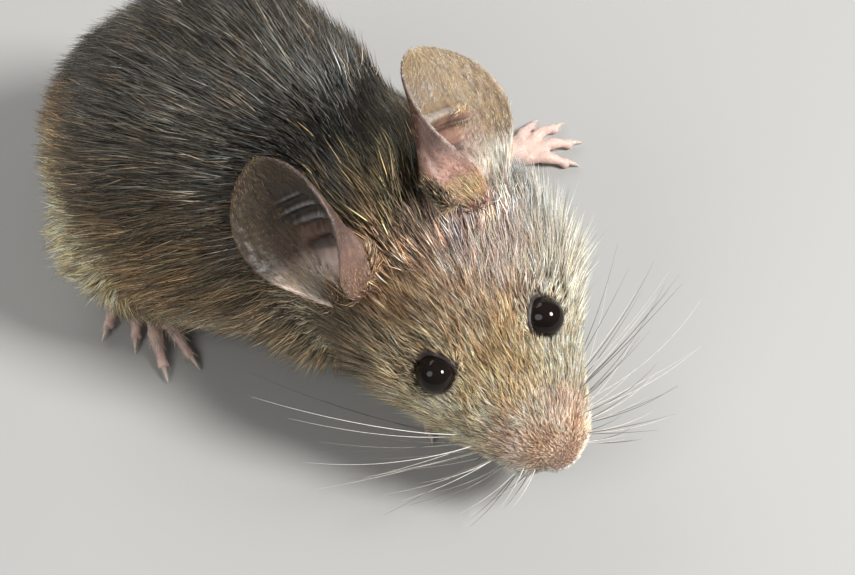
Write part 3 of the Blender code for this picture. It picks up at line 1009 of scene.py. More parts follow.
@dataclass
class EyeSocket:
    """Where an eyeball sits, the way it looks, and how far its lids open."""

    side: Side
    look: tuple = (0.43, 0.28, 0.86)
    opening: float = math.radians(98.0)
    hood: float = math.radians(20.0)  # how much further the lid comes down from the brow
    lid_radius: float = 0.13

    @property
    def centre(self) -> np.ndarray:
        """The middle of the eyeball."""
        return node_middle(f"eye_{self.side.word}")

    @property
    def radius(self) -> float:
        """The eyeball's radius."""
        low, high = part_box(f"eye_{self.side.word}")
        return (high.x - low.x) / 2 / MM

    @property
    def axis(self) -> np.ndarray:
        """The way the eye looks, in the model."""
        return HEAD.aim(self.look * self.side.mirror)

    def reach(self, points: np.ndarray) -> np.ndarray:
        """How far points are from the eyeball's middle."""
        return np.linalg.norm(points - self.centre, axis=1)

    def angle(self, away: np.ndarray) -> np.ndarray:
        """The angle of unit directions from the way the eye looks."""
        return np.arccos(np.clip(away @ self.axis, -1, 1))

    def ahead(self, places: np.ndarray) -> np.ndarray:
        """How far forward of the eye's middle places in the head are."""
        return places[:, 1] - HEAD.local(self.centre)[1]

    def opening_towards(self, away: np.ndarray) -> np.ndarray:
        """How far the lids open along directions from the eyeball's middle."""
        brow = square_to(HEAD.aim((-self.side.value, -0.25, 0.4)), self.axis)
        return self.opening - self.hood * ease(square_to(away, self.axis) @ brow, 0.0, 1.0)

    def lids(self) -> Surface:
        """A ring round the opening, drawn out a little at the inner and the outer corner."""
        return self.ring(self.radius + 0.07, 0.0, self.lid_radius, 0.05)

    def bed(self) -> list[Surface]:
        """What fills the socket behind the eyeball, and the soft mound that carries the lids."""
        heart = ball(self.centre, self.radius - 0.12, fineness=20)
        return [heart, self.ring(self.radius + 0.05, 0.30, 0.5, 0.03)]

    def ring(self, reach: float, beyond: float, thickness: float, corners: float) -> Surface:
        """A ring on a sphere round the eyeball's middle.

        Args:
            reach: The sphere's radius.
            beyond: The angle by which the ring lies outside the opening.
            thickness: The radius of the ring's own cross-section.
            corners: How much longer it is from corner to corner than across.

        Returns:
            The ring, closed on itself.
        """
        ahead = square_to(HEAD.aim((0.0, 1.0, 0.0)), self.axis)
        above = np.cross(self.axis, ahead)
        turns = np.linspace(0, 2 * math.pi, 49)
        flat = ahead * np.cos(turns)[:, None] + above * np.sin(turns)[:, None]
        opening = (self.opening_towards(flat) + beyond)[:, None]
        wide = reach * np.sin(opening) * (1.0 + corners * np.cos(turns)[:, None] ** 4)
        path = self.centre + self.axis * (reach * np.cos(opening)) + flat * wide
        return tube(path, np.full(len(turns), thickness), 12, 1)


SOCKETS = [EyeSocket(Side.LEFT), EyeSocket(Side.RIGHT)]


@dataclass
class Anatomy:
    """The lines through the body, and what they say of any point on the skin."""

    softness: float = 1.2
    lines: list[Line] = field(default_factory=list)

    def __post_init__(self) -> None:
        """Sets out the lines of every part."""
        spine = [(0, -20, 13.5), (0, -9, 14), (0, 3, 13), (0, 12, 11)]
        self.lines.append(Line(Area.TRUNK, from_hips(spine), np.array([9.5, 13.2, 13.2, 6.5])))
        nape = np.stack([from_hips((0, -13, 14.6)), HEAD.place((0, -9.5, -4.6))])
        self.lines.append(Line(Area.NECK, nape, np.array([10.2, 9.8])))
        brow = [(0, -10, -4.6), (0, -2, -4.2), (0, 4, -3.8), (0, 8.4, -3.4), (0, 11.2, -4.0)]
        self.lines.append(Line(Area.HEAD, HEAD.place(brow), np.array([9.4, 9.2, 6.2, 3.4, 1.9])))
        for side, points, radii in LIMBS:
            self.lines.append(Line(Area.LEGS, on_side(points, side), np.array(radii)))
        for paw in PAWS:
            self.lines += paw.lines()
        tail = smooth_rows(np.column_stack([from_hips(TAIL_PATH), TAIL_RADII]), 3)
        self.lines.append(Line(Area.TAIL, tail[:, :3], tail[:, 3]))

    def read(self, points: np.ndarray) -> tuple[dict[Area, np.ndarray], dict[Area, np.ndarray], np.ndarray]:
        """Reads the lines at points on the skin.

        Args:
            points: The points to read at.

        Returns:
            Each area's share of each point, how far along that area's line it is, and the
            directions of the lines there, blended.
        """
        readings = [line.nearest(points) for line in self.lines]
        outside = np.stack([reading.outside for reading in readings])
        weights = np.exp(-(outside - outside.min(axis=0)) / self.softness)
        weights /= weights.sum(axis=0)
        share = {area: np.zeros(len(points)) for area in Area}
        along = {area: np.zeros(len(points)) for area in Area}
        heading = np.zeros_like(points)
        for line, reading, weight in zip(self.lines, readings, weights):
            share[line.area] += weight
            along[line.area] += weight * reading.along
            heading += reading.heading * weight[:, None]
        for area in Area:
            along[area] /= np.maximum(share[area], 1e-6)
        return share, along, heading


# The skin


@dataclass
class Reading:
    """What is known of each point of the skin: shares of areas, places on them, and head places."""

    share: dict[Area, np.ndarray]
    along: dict[Area, np.ndarray]
    heading: np.ndarray
    head: np.ndarray
    ear: EarSpot
    points: np.ndarray
    normals: np.ndarray

    @classmethod
    def of(cls, anatomy: Anatomy, points: np.ndarray, normals: np.ndarray) -> "Reading":
        """Reads everything at points with their normals.

        Args:
            anatomy: The lines through the body.
            points: The points.
            normals: The normals there.

        Returns:
            The reading.
        """
        share, along, heading = anatomy.read(points)
        ear = EarSpot.find(points, normals)
        ear_share = ear.on
        for area in Area:
            share[area] = share[area] * (1.0 - ear_share)
        share[Area.EARS] = ear_share
        return cls(share, along, heading, HEAD.local(points), ear, points, normals)

    def mixed(self, **values: np.ndarray | float | tuple) -> np.ndarray:
        """Values given for each area, blended by the areas' shares.

        Args:
            **values: A value, a colour, or one for each point, by the area's name.

        Returns:
            The blend at each point.
        """
        total = 0.0
        for name, value in values.items():
            value, share = np.asarray(value, float), self.share[Area(name)]
            rows = value.ndim == 2 or value.shape == (3,)
            total = total + (share[:, None] if rows else share) * value
        return total


@dataclass
class Skin:
    """One skin over the whole body, drawn in from the solids by the depth of the coat."""

    anatomy: Anatomy
    seam: float = 0.35
    rough_voxel: float = 0.45
    voxel: float = 0.21
    nostril_depth: float = 0.45
    cleft_depth: float = 0.3
    mouth_depth: float = 0.4
    crease_depth: float = 0.035
    ring_height: float = 0.035
    ring_spacing: float = 0.75

    def coat_depth(self, points: np.ndarray) -> np.ndarray:
        """How deep the coat is at points near the outline, in millimetres.

        Args:
            points: The points.

        Returns:
            One value for each point.
        """
        share, along, _ = self.anatomy.read(points)
        head = HEAD.local(points)
        forward = head[:, 1]
        on_head = np.interp(forward, [-14, -8, -3, 1, 5, 9, 11], [1.8, 1.5, 1.2, 1.0, 0.7, 0.4, 0.15])
        cheek = ease(head[:, 2], 0.0, -5.0) * bell(forward, -2.0, 6.0)
        return (
            share[Area.TRUNK] * 2.1
            + share[Area.NECK] * 1.9
            + share[Area.HEAD] * (on_head + 0.4 * cheek)
            + share[Area.LEGS] * np.interp(along[Area.LEGS], [0.0, 0.6, 1.0], [2.2, 1.3, 0.55])
            + share[Area.TAIL] * np.interp(along[Area.TAIL], [0.0, 0.1, 0.2], [1.2, 0.3, 0.0])
        )

    def core(self) -> Surface:
        """Trunk, neck, head and legs as one mass, smoothed and drawn in under the coat.

        Returns:
            The mass.
        """
        flesh = ["trunk", "neck", "head", "jaw", "nose"]
        flesh += [f"{kind.word}leg_{side.word}" for kind in PawKind for side in Side]
        solids = [Surface.of_object(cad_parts[name], 1 / MM) for name in flesh]
        parts = [solid.welded().grown(self.seam) for solid in solids]
        parts += [ball(socket.centre, socket.radius, fineness=20) for socket in SOCKETS]
        mass = Surface.joined(parts).remeshed(self.rough_voxel)
        forward = HEAD.local(mass.points)[:, 1]
        mass = mass.relaxed(24, np.interp(forward, [2.0, 9.0], [0.6, 0.12]))
        depth = mass.averaged(self.coat_depth(mass.points), 8)[:, 0]
        steps = 4  # so that the points stay even as the mass draws in
        for _ in range(steps):
            mass = mass.grown(-(depth + self.seam) / steps).relaxed(2, 0.5)
        return mass

    def tail(self) -> Surface:
        """The tail as one tapered tube."""
        return tube(from_hips(TAIL_PATH), np.array(TAIL_RADII) - INSET, 20, 10)

    def muzzle(self) -> list[Surface]:
        """The nose pad, the whisker pads and the chin, as soft swellings.

        Returns:
            The swellings, not joined.
        """
        made = [ball(HEAD.place((0, 11.0, -4.1)), (1.5, 1.1, 1.2), HEAD.axes)]
        for side in Side:
            made.append(ball(HEAD.place((side.value * 1.85, 8.9, -4.35)), (2.1, 2.4, 1.9), HEAD.axes))
            made.append(ball(HEAD.place((side.value * 0.65, 11.6, -4.3)), (0.6, 0.5, 0.6), HEAD.axes))
        made.append(ball(HEAD.place((0, 7.3, -7.0)), (1.7, 1.9, 0.9), HEAD.axes))
        return made

    def build(self) -> Surface:
        """The whole skin, with its fine folds.

        Returns:
            The skin, which rests on the floor.
        """
        parts = [self.core(), self.tail(), *self.muzzle()]
        for paw in PAWS:
            parts += paw.flesh()
        for ear in EARS:
            parts += [ear.flesh(), ear.buttress()]
        for socket in SOCKETS:
            parts += [socket.lids(), *socket.bed()]
        made = Surface.joined(parts).remeshed(self.voxel)
        made = self.ear_roots_softened(made.relaxed(2, 0.45))
        made = self.finer(self.coarser(made))
        for step in (self.lids_opened, self.face_folds, self.ear_folds, self.tail_rings):
            made = step(made)
        made.points[:, 2] = np.maximum(made.points[:, 2], 0.0)
        return made

    def coarser(self, skin: Surface) -> Surface:
        """Leaves out most of the points that the coat hides.

        Args:
            skin: The skin.

        Returns:
            The new skin.
        """
        share, _, _ = self.anatomy.read(skin.points)
        hidden = ease(share[Area.TRUNK] + share[Area.NECK] + share[Area.LEGS], 0.6, 0.95)
        spot = EarSpot.find(skin.points, skin.normals(), 2.4)
        hidden *= ease(spot.apart, 1.2, 2.3)
        guide = linked("coarser_guide", skin.mesh("coarser_guide"))
        group = guide.vertex_groups.new(name="hidden")
        for level in (0.5, 1.0):
            members = np.flatnonzero((hidden > level - 0.5) & (hidden <= level))
            group.add(members.tolist(), level, "REPLACE")
        modifier = guide.modifiers.new("fewer", "DECIMATE")
        modifier.vertex_group = group.name
        modifier.ratio = 1.0 - 0.8 * float((hidden > 0.5).mean())
        made = Surface.of_object(guide)
        bpy.data.meshes.remove(guide.data)
        return made

    def finer(self, skin: Surface) -> Surface:
        """Divides the faces round the eyes, at the nose and in the ears, where the folds are smallest.

        Args:
            skin: The skin.

        Returns:
            The new skin.
        """
        middles = skin.points[skin.faces].mean(axis=1)
        near = np.zeros(len(middles), bool)
        for socket in SOCKETS:
            near |= socket.reach(middles) < socket.radius + 1.0
        near |= np.linalg.norm(middles - HEAD.place((0, 12.0, -4.4)), axis=1) < 2.6
        normals = unit(skin.face_normals())
        ear = EarSpot.find(middles, normals, 0.9)
        near |= (ear.apart < 0.6) & (ear.inside > 0.3) & (ear.along > 0.02)
        bm = bmesh.new()
        bm.from_mesh(skin.mesh("finer_guide"))
        bm.faces.ensure_lookup_table()
        edges = {edge for number in np.flatnonzero(near) for edge in bm.faces[number].edges}
        bmesh.ops.subdivide_edges(bm, edges=list(edges), cuts=1, use_grid_fill=True)
        bmesh.ops.triangulate(bm, faces=bm.faces)
        mesh = bpy.data.meshes.new("finer_guide")
        bm.to_mesh(mesh)
        bm.free()
        made = Surface.of_object(linked("finer_guide", mesh))
        bpy.data.meshes.remove(mesh)
        middle = HEAD.place((0, 6.0, -3.0))
        here = np.linalg.norm(made.points - middle, axis=1) < 12.0
        return made.relaxed(2, np.where(here, 0.4, 0.0))

    def ear_roots_softened(self, skin: Surface) -> Surface:
        """Rounds the creases where the ears leave the head.

        Args:
            skin: The skin.

        Returns:
            The new skin.
        """
        spot = EarSpot.find(skin.points, skin.normals(), 4.0)
        soft = ease(spot.apart, 0.4, 0.9) * ease(spot.apart, 3.8, 2.8) * ease(spot.along, 0.5, 0.35)
        return skin.relaxed(16, 0.5 * soft)

    def lids_opened(self, skin: Surface) -> Surface:
        """Presses the skin behind the eyeballs inside the lids, and keeps the lids off the eyeballs.

        Args:
            skin: The skin.

        Returns:
            The new skin.
        """
        points = skin.points.copy()
        for socket in SOCKETS:
            near = np.flatnonzero(socket.reach(points) < socket.radius + 1.2)
            reach = socket.reach(points[near])
            out = unit(points[near] - socket.centre)
            hidden = ease(socket.angle(out) - socket.opening_towards(out), -0.02, -0.1)
            outside, inside = np.maximum(reach, socket.radius + 0.05), np.minimum(reach, socket.radius - 0.3)
            target = outside * (1 - hidden) + inside * hidden
            points[near] = socket.centre + out * target[:, None]
        return Surface(points, skin.faces)

    def face_folds(self, skin: Surface) -> Surface:
        """Cuts the nostrils, the cleft below the nose and the line of the mouth.

        Args:
            skin: The skin.

        Returns:
            The new skin.
        """
        local = HEAD.local(skin.points)
        left, forward, up = np.abs(local[:, 0]), local[:, 1], local[:, 2]
        nostril = bell(left, 0.72, 0.22) * ease(forward, 10.9, 11.4) * bell(up, -4.35, 0.28)
        cleft = bell(left, 0.0, 0.16) * ease(forward, 9.0, 10.0)
        cleft = cleft * ease(up, -4.3, -4.7) * ease(up, -6.6, -6.2)
        mouth = bell(up, -6.25 + 0.1 * (forward - 9.0), 0.22) * ease(forward, 1.5, 4.0)
        depth = self.nostril_depth * nostril + self.cleft_depth * cleft + self.mouth_depth * mouth
        return skin.grown(-depth)

    def ear_folds(self, skin: Surface) -> Surface:
        """Raises the folds in the hollows of the ears, and fine creases between them.

        Args:
            skin: The skin.

        Returns:
            The new skin.
        """
        ear = EarSpot.find(skin.points, skin.normals(), 1.2)
        inside = ease(ear.inside, 0.1, 0.7) * ease(ear.apart, 0.8, 0.55)
        height = np.zeros(len(skin.points))
        for one in EARS:
            height += one.relief(ear.along, ear.around) * ear.of(one)
        places = np.column_stack([ear.along * 26, ear.around * 7, ear.of_left])
        creases = self.crease_depth * ripple(places, 1.0, 9)
        return skin.grown((height + creases * ease(ear.along, 0.05, 0.3)) * inside)

    def tail_rings(self, skin: Surface) -> Surface:
        """Raises the rings of scales round the tail.

        Args:
            skin: The skin.

        Returns:
            The new skin.
        """
        line = next(line for line in self.anatomy.lines if line.area is Area.TAIL)
        low, high = line.points.min(axis=0) - 3.0, line.points.max(axis=0) + 3.0
        near = np.flatnonzero(((skin.points > low) & (skin.points < high)).all(axis=1))
        reading = line.nearest(skin.points[near])
        length = np.linalg.norm(np.diff(line.points, axis=0), axis=1).sum()
        rings = self.ring_height * np.cos(2 * math.pi * reading.along * length / self.ring_spacing)
        height = rings * ease(reading.along, 0.06, 0.14) * ease(reading.outside, 0.8, 0.3)
        return skin.grown(np.bincount(near, height, len(skin.points)))


# Markings


@dataclass(frozen=True)
class Patch:
    """A soft-edged patch of colour: its place, its reach and its strength."""

    place: tuple
    reach: float
    colour: tuple
    strength: float = 1.5


@dataclass(frozen=True)
class EarTones:
    """The colours of one ear's skin."""

    # crest: the tops of the folds, with a painted highlight for their shine.
    blade: tuple  # the upper part of the hollow
    crest: tuple  # the tops of the folds
    lobe: tuple  # the hollow below the folds
    base: tuple  # the lowest part of the hollow
    wall_high: tuple  # the outer face of the inner wall
    wall_low: tuple
    back: tuple
    rim: tuple

    def laid(self, ear: EarSpot, relief: np.ndarray) -> np.ndarray:
        """The colours at places on the ear.

        Args:
            ear: The places.
            relief: How far the folds stand out there.

        Returns:
            Linear red, green and blue for each.
        """
        around, along = ear.around, ear.along
        hollow = blended(self.blade, self.lobe, ease(along, 0.58, 0.46) * ease(around, -0.8, 0.0))
        hollow = blended(hollow, self.base, ease(along, 0.38, 0.16))
        # Painted shade in the creases beside the folds.
        hollow = hollow * (1 - 0.6 * ease(relief, -0.02, -0.2))[:, None]
        # A painted highlight along the tops of the folds.
        hollow = blended(hollow, self.crest, ease(relief, 0.16, 0.36) * ease(along, 0.52, 0.57))
        wall = blended(self.wall_high, self.wall_low, ease(along, 0.48, 0.18))
        back = blended(self.back, wall, ease(around, 0.0, 0.35))
        made = blended(back, hollow, ease(ear.inside, -0.2, 0.2))
        edge = np.maximum(ease(np.abs(around), 0.94, 1.0) * ease(along, 0.2, 0.45), ease(along, 0.97, 1.0))
        return blended(made, self.rim, 0.6 * edge)


@dataclass(frozen=True)
class Markings:
    """The colours of the coat and of the skin, by the same places on the body."""

    back: tuple = (0.122, 0.107, 0.085)
    flank: tuple = (0.22, 0.145, 0.07)
    belly: tuple = (0.74, 0.62, 0.42)
    nape: tuple = (0.24, 0.21, 0.165)
    brow: tuple = (0.56, 0.40, 0.22)
    leg: tuple = (0.34, 0.26, 0.16)
    paw: tuple = (0.72, 0.60, 0.50)
    tail: tuple = (0.20, 0.17, 0.14)
    # The ears' hair is alike: the left ear's is painted bright as lit, the right ear's painted dark as shade.
    ear_left: tuple = (0.68, 0.52, 0.31)
    ear_right: tuple = (0.14, 0.095, 0.045)
    ear_walls: tuple = (0.24, 0.15, 0.09)
    ear_silver: tuple = (0.70, 0.66, 0.62)
    ear_roots: tuple = (0.90, 0.80, 0.64)
    ear_fringe: tuple = (0.56, 0.42, 0.24)
    gilt: tuple = (0.38, 0.29, 0.13)
    bare_face: tuple = (0.44, 0.25, 0.19)
    bare_paw: tuple = (0.70, 0.49, 0.42)
    bare_tail: tuple = (0.24, 0.165, 0.14)
    under_tail: tuple = (0.48, 0.33, 0.28)
    # Painted shade on the skin round each eye, darker than the coat there.
    lid_shade: tuple = (0.42, 0.40, 0.38)
    lid_edge: tuple = (0.03, 0.02, 0.016)
    on_head: tuple = (
        Patch((-1.0, -22.5, -2.6), 3.2, (0.20, 0.19, 0.165), 4.0),
        Patch((-3.7, -17.6, 0.3), 3.4, (0.014, 0.012, 0.009), 22.0),
        Patch((1.0, -16.0, 0.0), 3.0, (0.04, 0.033, 0.02), 8.0),
        Patch((-1.5, -12.5, 1.0), 2.8, (0.08, 0.061, 0.028), 7.0),
        Patch((1.6, -11.3, 0.5), 2.6, (0.060, 0.042, 0.023), 12.0),
        Patch((-5.5, -8, 0.5), 3.0, (0.55, 0.31, 0.18), 4.0),
        Patch((3.6, -7.2, 0.6), 3.2, (0.98, 0.66, 0.54), 12.0),
        Patch((-1.5, -6, 1.2), 2.4, (0.44, 0.26, 0.14), 3.0),
        Patch((0, -1.5, 1.1), 2.6, (0.55, 0.34, 0.20), 3.0),
        Patch((0, 3.5, 0.2), 2.6, (0.60, 0.38, 0.18), 3.0),
        Patch((0, 7.3, -0.8), 2.4, (0.95, 0.66, 0.47), 3.0),
        Patch((0, 10.5, -3), 2.3, (0.28, 0.17, 0.115), 7.0),
        Patch((-2.2, 8.3, -1.8), 1.6, (0.46, 0.28, 0.21), 5.0),
        Patch((2.8, 8.0, -1.5), 1.5, (0.56, 0.34, 0.27), 5.0),
        Patch((0, 12.0, -5.6), 1.5, (0.90, 0.82, 0.72), 10.0),
        Patch((2.8, 10.4, -5.4), 1.8, (0.62, 0.50, 0.41), 6.0),
        Patch((-2.8, 10.4, -5.4), 1.8, (0.95, 0.90, 0.80), 8.0),
        Patch((6.5, 4.5, -4), 3.6, (0.76, 0.68, 0.50), 4.0),
        Patch((-6.0, 4.0, -4), 3.6, (0.74, 0.62, 0.40), 4.0),
        Patch((8.5, -2, -3), 4.0, (0.72, 0.65, 0.50), 6.0),
        Patch((8.0, -10, -2), 3.5, (0.98, 0.95, 0.82), 9.0),
        Patch((9.0, -8, -5), 3.5, (0.98, 0.95, 0.82), 8.0),
        Patch((7.5, -14, -3), 3.0, (0.92, 0.88, 0.74), 5.0),
        Patch((-9.0, -4, -4), 4.0, (0.13, 0.105, 0.07), 6.0),
        Patch((0, 4, -10), 6.0, (0.70, 0.62, 0.46), 5.0),
    )
    # The same on the body, measured from under the hips and alike on both sides.
    on_body: tuple = (
        Patch((-7.5, 7.5, 19), 3.4, (0.42, 0.27, 0.12), 2.5),
        Patch((-11, 1.5, 17.5), 2.4, (0.13, 0.085, 0.05), 3.0),
        Patch((-10, 6, 15), 2.6, (0.60, 0.40, 0.17), 4.0),
        Patch((-11.5, 5, 12), 4.2, (0.96, 0.80, 0.49), 12.0),
        Patch((-12, 2, 6), 3.2, (0.11, 0.09, 0.065), 9.0),
        Patch((-12.5, -3, 12.5), 3.0, (0.38, 0.25, 0.12), 3.0),
    )
    # The same on the skin of the head, where it shows through.
    on_skin: tuple = (
        Patch((3.4, -7.2, 0.6), 3.6, (0.80, 0.50, 0.42), 8.0),
        Patch((-5.2, -8.2, 0.3), 3.2, (0.34, 0.18, 0.13), 4.0),
        Patch((0, 10.8, -3.4), 2.6, (0.36, 0.22, 0.165), 4.0),
    )
    # Both ears have the same skin: the left ear's tones are painted as lit, the right ear's far darker as
    # painted shade.
    left_ear_lit: EarTones = EarTones(
        blade=(0.22, 0.15, 0.09),
        crest=(0.36, 0.31, 0.27),
        lobe=(0.24, 0.13, 0.095),
        base=(0.50, 0.38, 0.31),
        wall_high=(0.085, 0.04, 0.03),
        wall_low=(0.36, 0.20, 0.155),
        back=(0.30, 0.20, 0.16),
        rim=(0.55, 0.47, 0.41),
    )
    right_ear_shaded: EarTones = EarTones(
        blade=(0.042, 0.029, 0.02),
        crest=(0.17, 0.16, 0.155),
        lobe=(0.12, 0.07, 0.05),
        base=(0.60, 0.46, 0.39),
        wall_high=(0.09, 0.055, 0.045),
        wall_low=(0.22, 0.13, 0.10),
        back=(0.15, 0.10, 0.08),
        rim=(0.13, 0.10, 0.09),
    )

    def patched(self, base: np.ndarray, places: np.ndarray, patches: tuple) -> np.ndarray:
        """The base colours with patches laid over them.

        Args:
            base: The colour at each point.
            places: Where the points are.
            patches: The patches.

        Returns:
            The new colours.
        """
        total, weights = base.copy(), np.ones(len(base))
        for patch in patches:
            apart = np.linalg.norm(places - np.array(patch.place), axis=1)
            weight = patch.strength * np.exp(-((apart / patch.reach) ** 2))
            total += weight[:, None] * np.array(patch.colour)
            weights += weight
        return total / weights[:, None]

    def coat(self, at: Reading) -> np.ndarray:
        """The colour of the coat's tips.

        Args:
            at: The points of the skin.

        Returns:
            Linear red, green and blue for each.
        """
        height = at.points[:, 2] + 1.2 * ripple(at.points, 9.0, 3)
        rise = ease(at.normals[:, 2], -0.6, 0.2)
        low = np.maximum(ease(height, 8.0, 3.0), 1.0 - rise)
        on_right = at.points - HIPS
        on_right[:, 0] = -np.abs(on_right[:, 0])
        trunk = blended(blended(self.back, self.flank, ease(height, 26.0, 14.0)), self.belly, low)
        trunk = self.patched(self.patched(trunk, at.head, self.on_head), on_right, self.on_body)
        neck = self.patched(blended(self.nape, self.belly, low), at.head, self.on_head)
        legs = self.patched(blended(self.leg, self.belly, 0.6 * low), on_right, self.on_body)
        head = self.patched(np.tile(self.brow, (len(height), 1)), at.head, self.on_head)
        inside = at.ear.inside > 0
        # The left ear's hair is painted lit and the right ear's in painted shade.
        ears = blended(self.ear_right, self.ear_left, at.ear.of_left)
        silver = at.ear.of_left * inside * ease(at.ear.around, -0.3, 0.2) * bell(at.ear.along, 0.68, 0.12)
        ears = blended(ears, self.ear_silver, silver)
        rooted = ease(at.ear.along, 0.45, 0.15) * inside * (0.4 + 0.6 * at.ear.of_left)
        ears = blended(ears, self.ear_roots, rooted)
        walled = ~inside * ease(at.ear.around, 0.0, 0.4)
        ears = blended(ears, self.ear_walls, walled)
        fringe = walled * ease(at.ear.along, 0.22, 0.05) * (0.2 + 0.8 * at.ear.of_left)
        ears = blended(ears, self.ear_fringe, fringe)
        return at.mixed(
            trunk=trunk, neck=neck, head=head, legs=legs, paws=self.paw, tail=self.tail, ears=ears
        )

    def skin(self, at: Reading) -> np.ndarray:
        """The colour of the skin under the coat and where it is bare.

        Args:
            at: The points of the skin.

        Returns:
            Linear red, green and blue for each.
        """
        coat = self.coat(at)
        # The skin under the coat: the underfur's own dark grey, deepened as painted shade deep in the coat.
        shade = (0.10 + 0.32 * coat) * (0.9, 0.8, 0.75)
        head = blended(shade, self.bare_face, 0.75 * ease(at.head[:, 1], -9.0, -1.0))
        head = self.patched(head, at.head, self.on_skin)
        ears = np.zeros_like(coat)
        # The left ear's tones carry painted light and the right ear's painted shade.
        for ear, tones in zip(EARS, (self.left_ear_lit, self.right_ear_shaded)):
            relief = ear.relief(at.ear.along, at.ear.around) * (at.ear.inside > 0)
            ears += tones.laid(at.ear, relief) * at.ear.of(ear)[:, None]
        places = np.column_stack([at.ear.around * 13, at.ear.along * 4, at.ear.of_left * 9])
        ears *= 1 + 0.22 * ripple(places, 1.0, 21)[:, None]
        made = at.mixed(
            trunk=shade,
            neck=shade,
            head=head,
            legs=shade,
            paws=self.bare_paw,
            tail=blended(self.bare_tail, self.under_tail, ease(at.normals[:, 2], 0.3, -0.5)),
            ears=ears,
        )
        for socket in SOCKETS:
            apart = socket.reach(at.points) - socket.radius
            # Painted shade on the skin round the eye, then the lids' own dark edge.
            made = blended(made, coat * self.lid_shade, 0.9 * ease(apart, 1.8, 0.6))
            made = blended(made, self.lid_edge, ease(apart, 0.46, 0.26))
        return made


# The coat


@dataclass
class Hairs:
    """Where tufts grow and how: everything in arrays with one row for each tuft."""

    roots: np.ndarray
    normals: np.ndarray
    lie: np.ndarray
    length: np.ndarray
    width: np.ndarray
    lift: np.ndarray
    bend: np.ndarray
    tint: np.ndarray
    places: np.ndarray
    area: np.ndarray

    def __len__(self) -> int:
        """How many tufts there are."""
        return len(self.roots)

    def picked(self, which: np.ndarray) -> "Hairs":
        """Some of the tufts, by number or by a mask."""
        return Hairs(**{name: getattr(self, name)[which] for name in self.__dataclass_fields__})


class Unwrap:
    """A coarse unwrap of the skin's own shape, which tells where on it any point of the skin is."""

    def __init__(self, skin: Surface, faces: int = 12000) -> None:
        """Decimates a copy of the skin and unwraps it.

        Args:
            skin: The whole skin.
            faces: About how many faces the copy keeps.
        """
        whole = linked("unwrap_guide", skin.mesh("unwrap_guide"))
        whole.modifiers.new("fewer", "DECIMATE").ratio = min(1.0, faces / len(skin.faces))
        guide = linked("unwrap_guide", evaluated(whole))
        bpy.data.meshes.remove(whole.data)
        bpy.context.view_layer.objects.active = guide
        guide.select_set(True)
        bpy.ops.object.mode_set(mode="EDIT")
        bpy.ops.mesh.select_all(action="SELECT")
        bpy.ops.uv.smart_project(angle_limit=math.radians(66), island_margin=0.004)
        bpy.ops.object.mode_set(mode="OBJECT")
        mesh = guide.data
        mesh.calc_loop_triangles()
        points = table(mesh.vertices, "co", 3, np.float32).astype(float)
        self.surface = Surface(points, table(mesh.loop_triangles, "vertices", 3))
        places = table(mesh.uv_layers.active.uv, "vector", 2, np.float32)
        self.places = places[table(mesh.loop_triangles, "loops", 3)]
        self.tree = self.surface.lookup()
        bpy.data.meshes.remove(mesh)

    def find(self, points: np.ndarray) -> np.ndarray:
        """Where points of the skin are on the unwrap.

        Args:
            points: The points to find.

        Returns:
            Two numbers from 0 to 1 for each.
        """
        found = [self.tree.find_nearest(point) for point in points.tolist()]
        near = np.array([row[0] for row in found])
        face = np.array([row[2] for row in found])
        a, b, c = (self.surface.points[self.surface.faces[face, k]] for k in range(3))
        area = np.cross(b - a, c - a)
        scale = np.maximum((area**2).sum(axis=1), 1e-12)
        second = (np.cross(near - a, c - a) * area).sum(axis=1) / scale
        third = (np.cross(b - a, near - a) * area).sum(axis=1) / scale
        weights = np.clip(np.stack([1 - second - third, second, third], axis=1), 0, 1)
        weights /= weights.sum(axis=1, keepdims=True)
        return (self.places[face] * weights[..., None]).sum(axis=1)


class TuftShape(Enum):
    """How a tuft is built: how many points and faces it has."""

    BENT = (7, 10)
    SPIKE = (4, 4)

    @property
    def points(self) -> int:
        """How many points it has."""
        return self.value[0]

    @property
    def faces(self) -> int:
        """How many triangles it has."""
        return self.value[1]

    def triangles(self) -> np.ndarray:
        """Its triangles, by its own points: a ring at the root, perhaps one at the bend, and a tip.

        Returns:
            Three point numbers for each triangle.
        """
        made = [(0, 2, 1)]
        tip = self.points - 1
        last = tip - 3
        for k in range(3):
            after = (k + 1) % 3
            if last:
                made += [(k, after, 3 + after), (k, 3 + after, 3 + k)]
            made.append((last + k, last + after, tip))
        return np.array(made)


# The numbers of the areas whose short hairs are straight spikes.
SHORT_HAIRED = [list(Area).index(area) for area in (Area.HEAD, Area.PAWS, Area.TAIL, Area.EARS)]


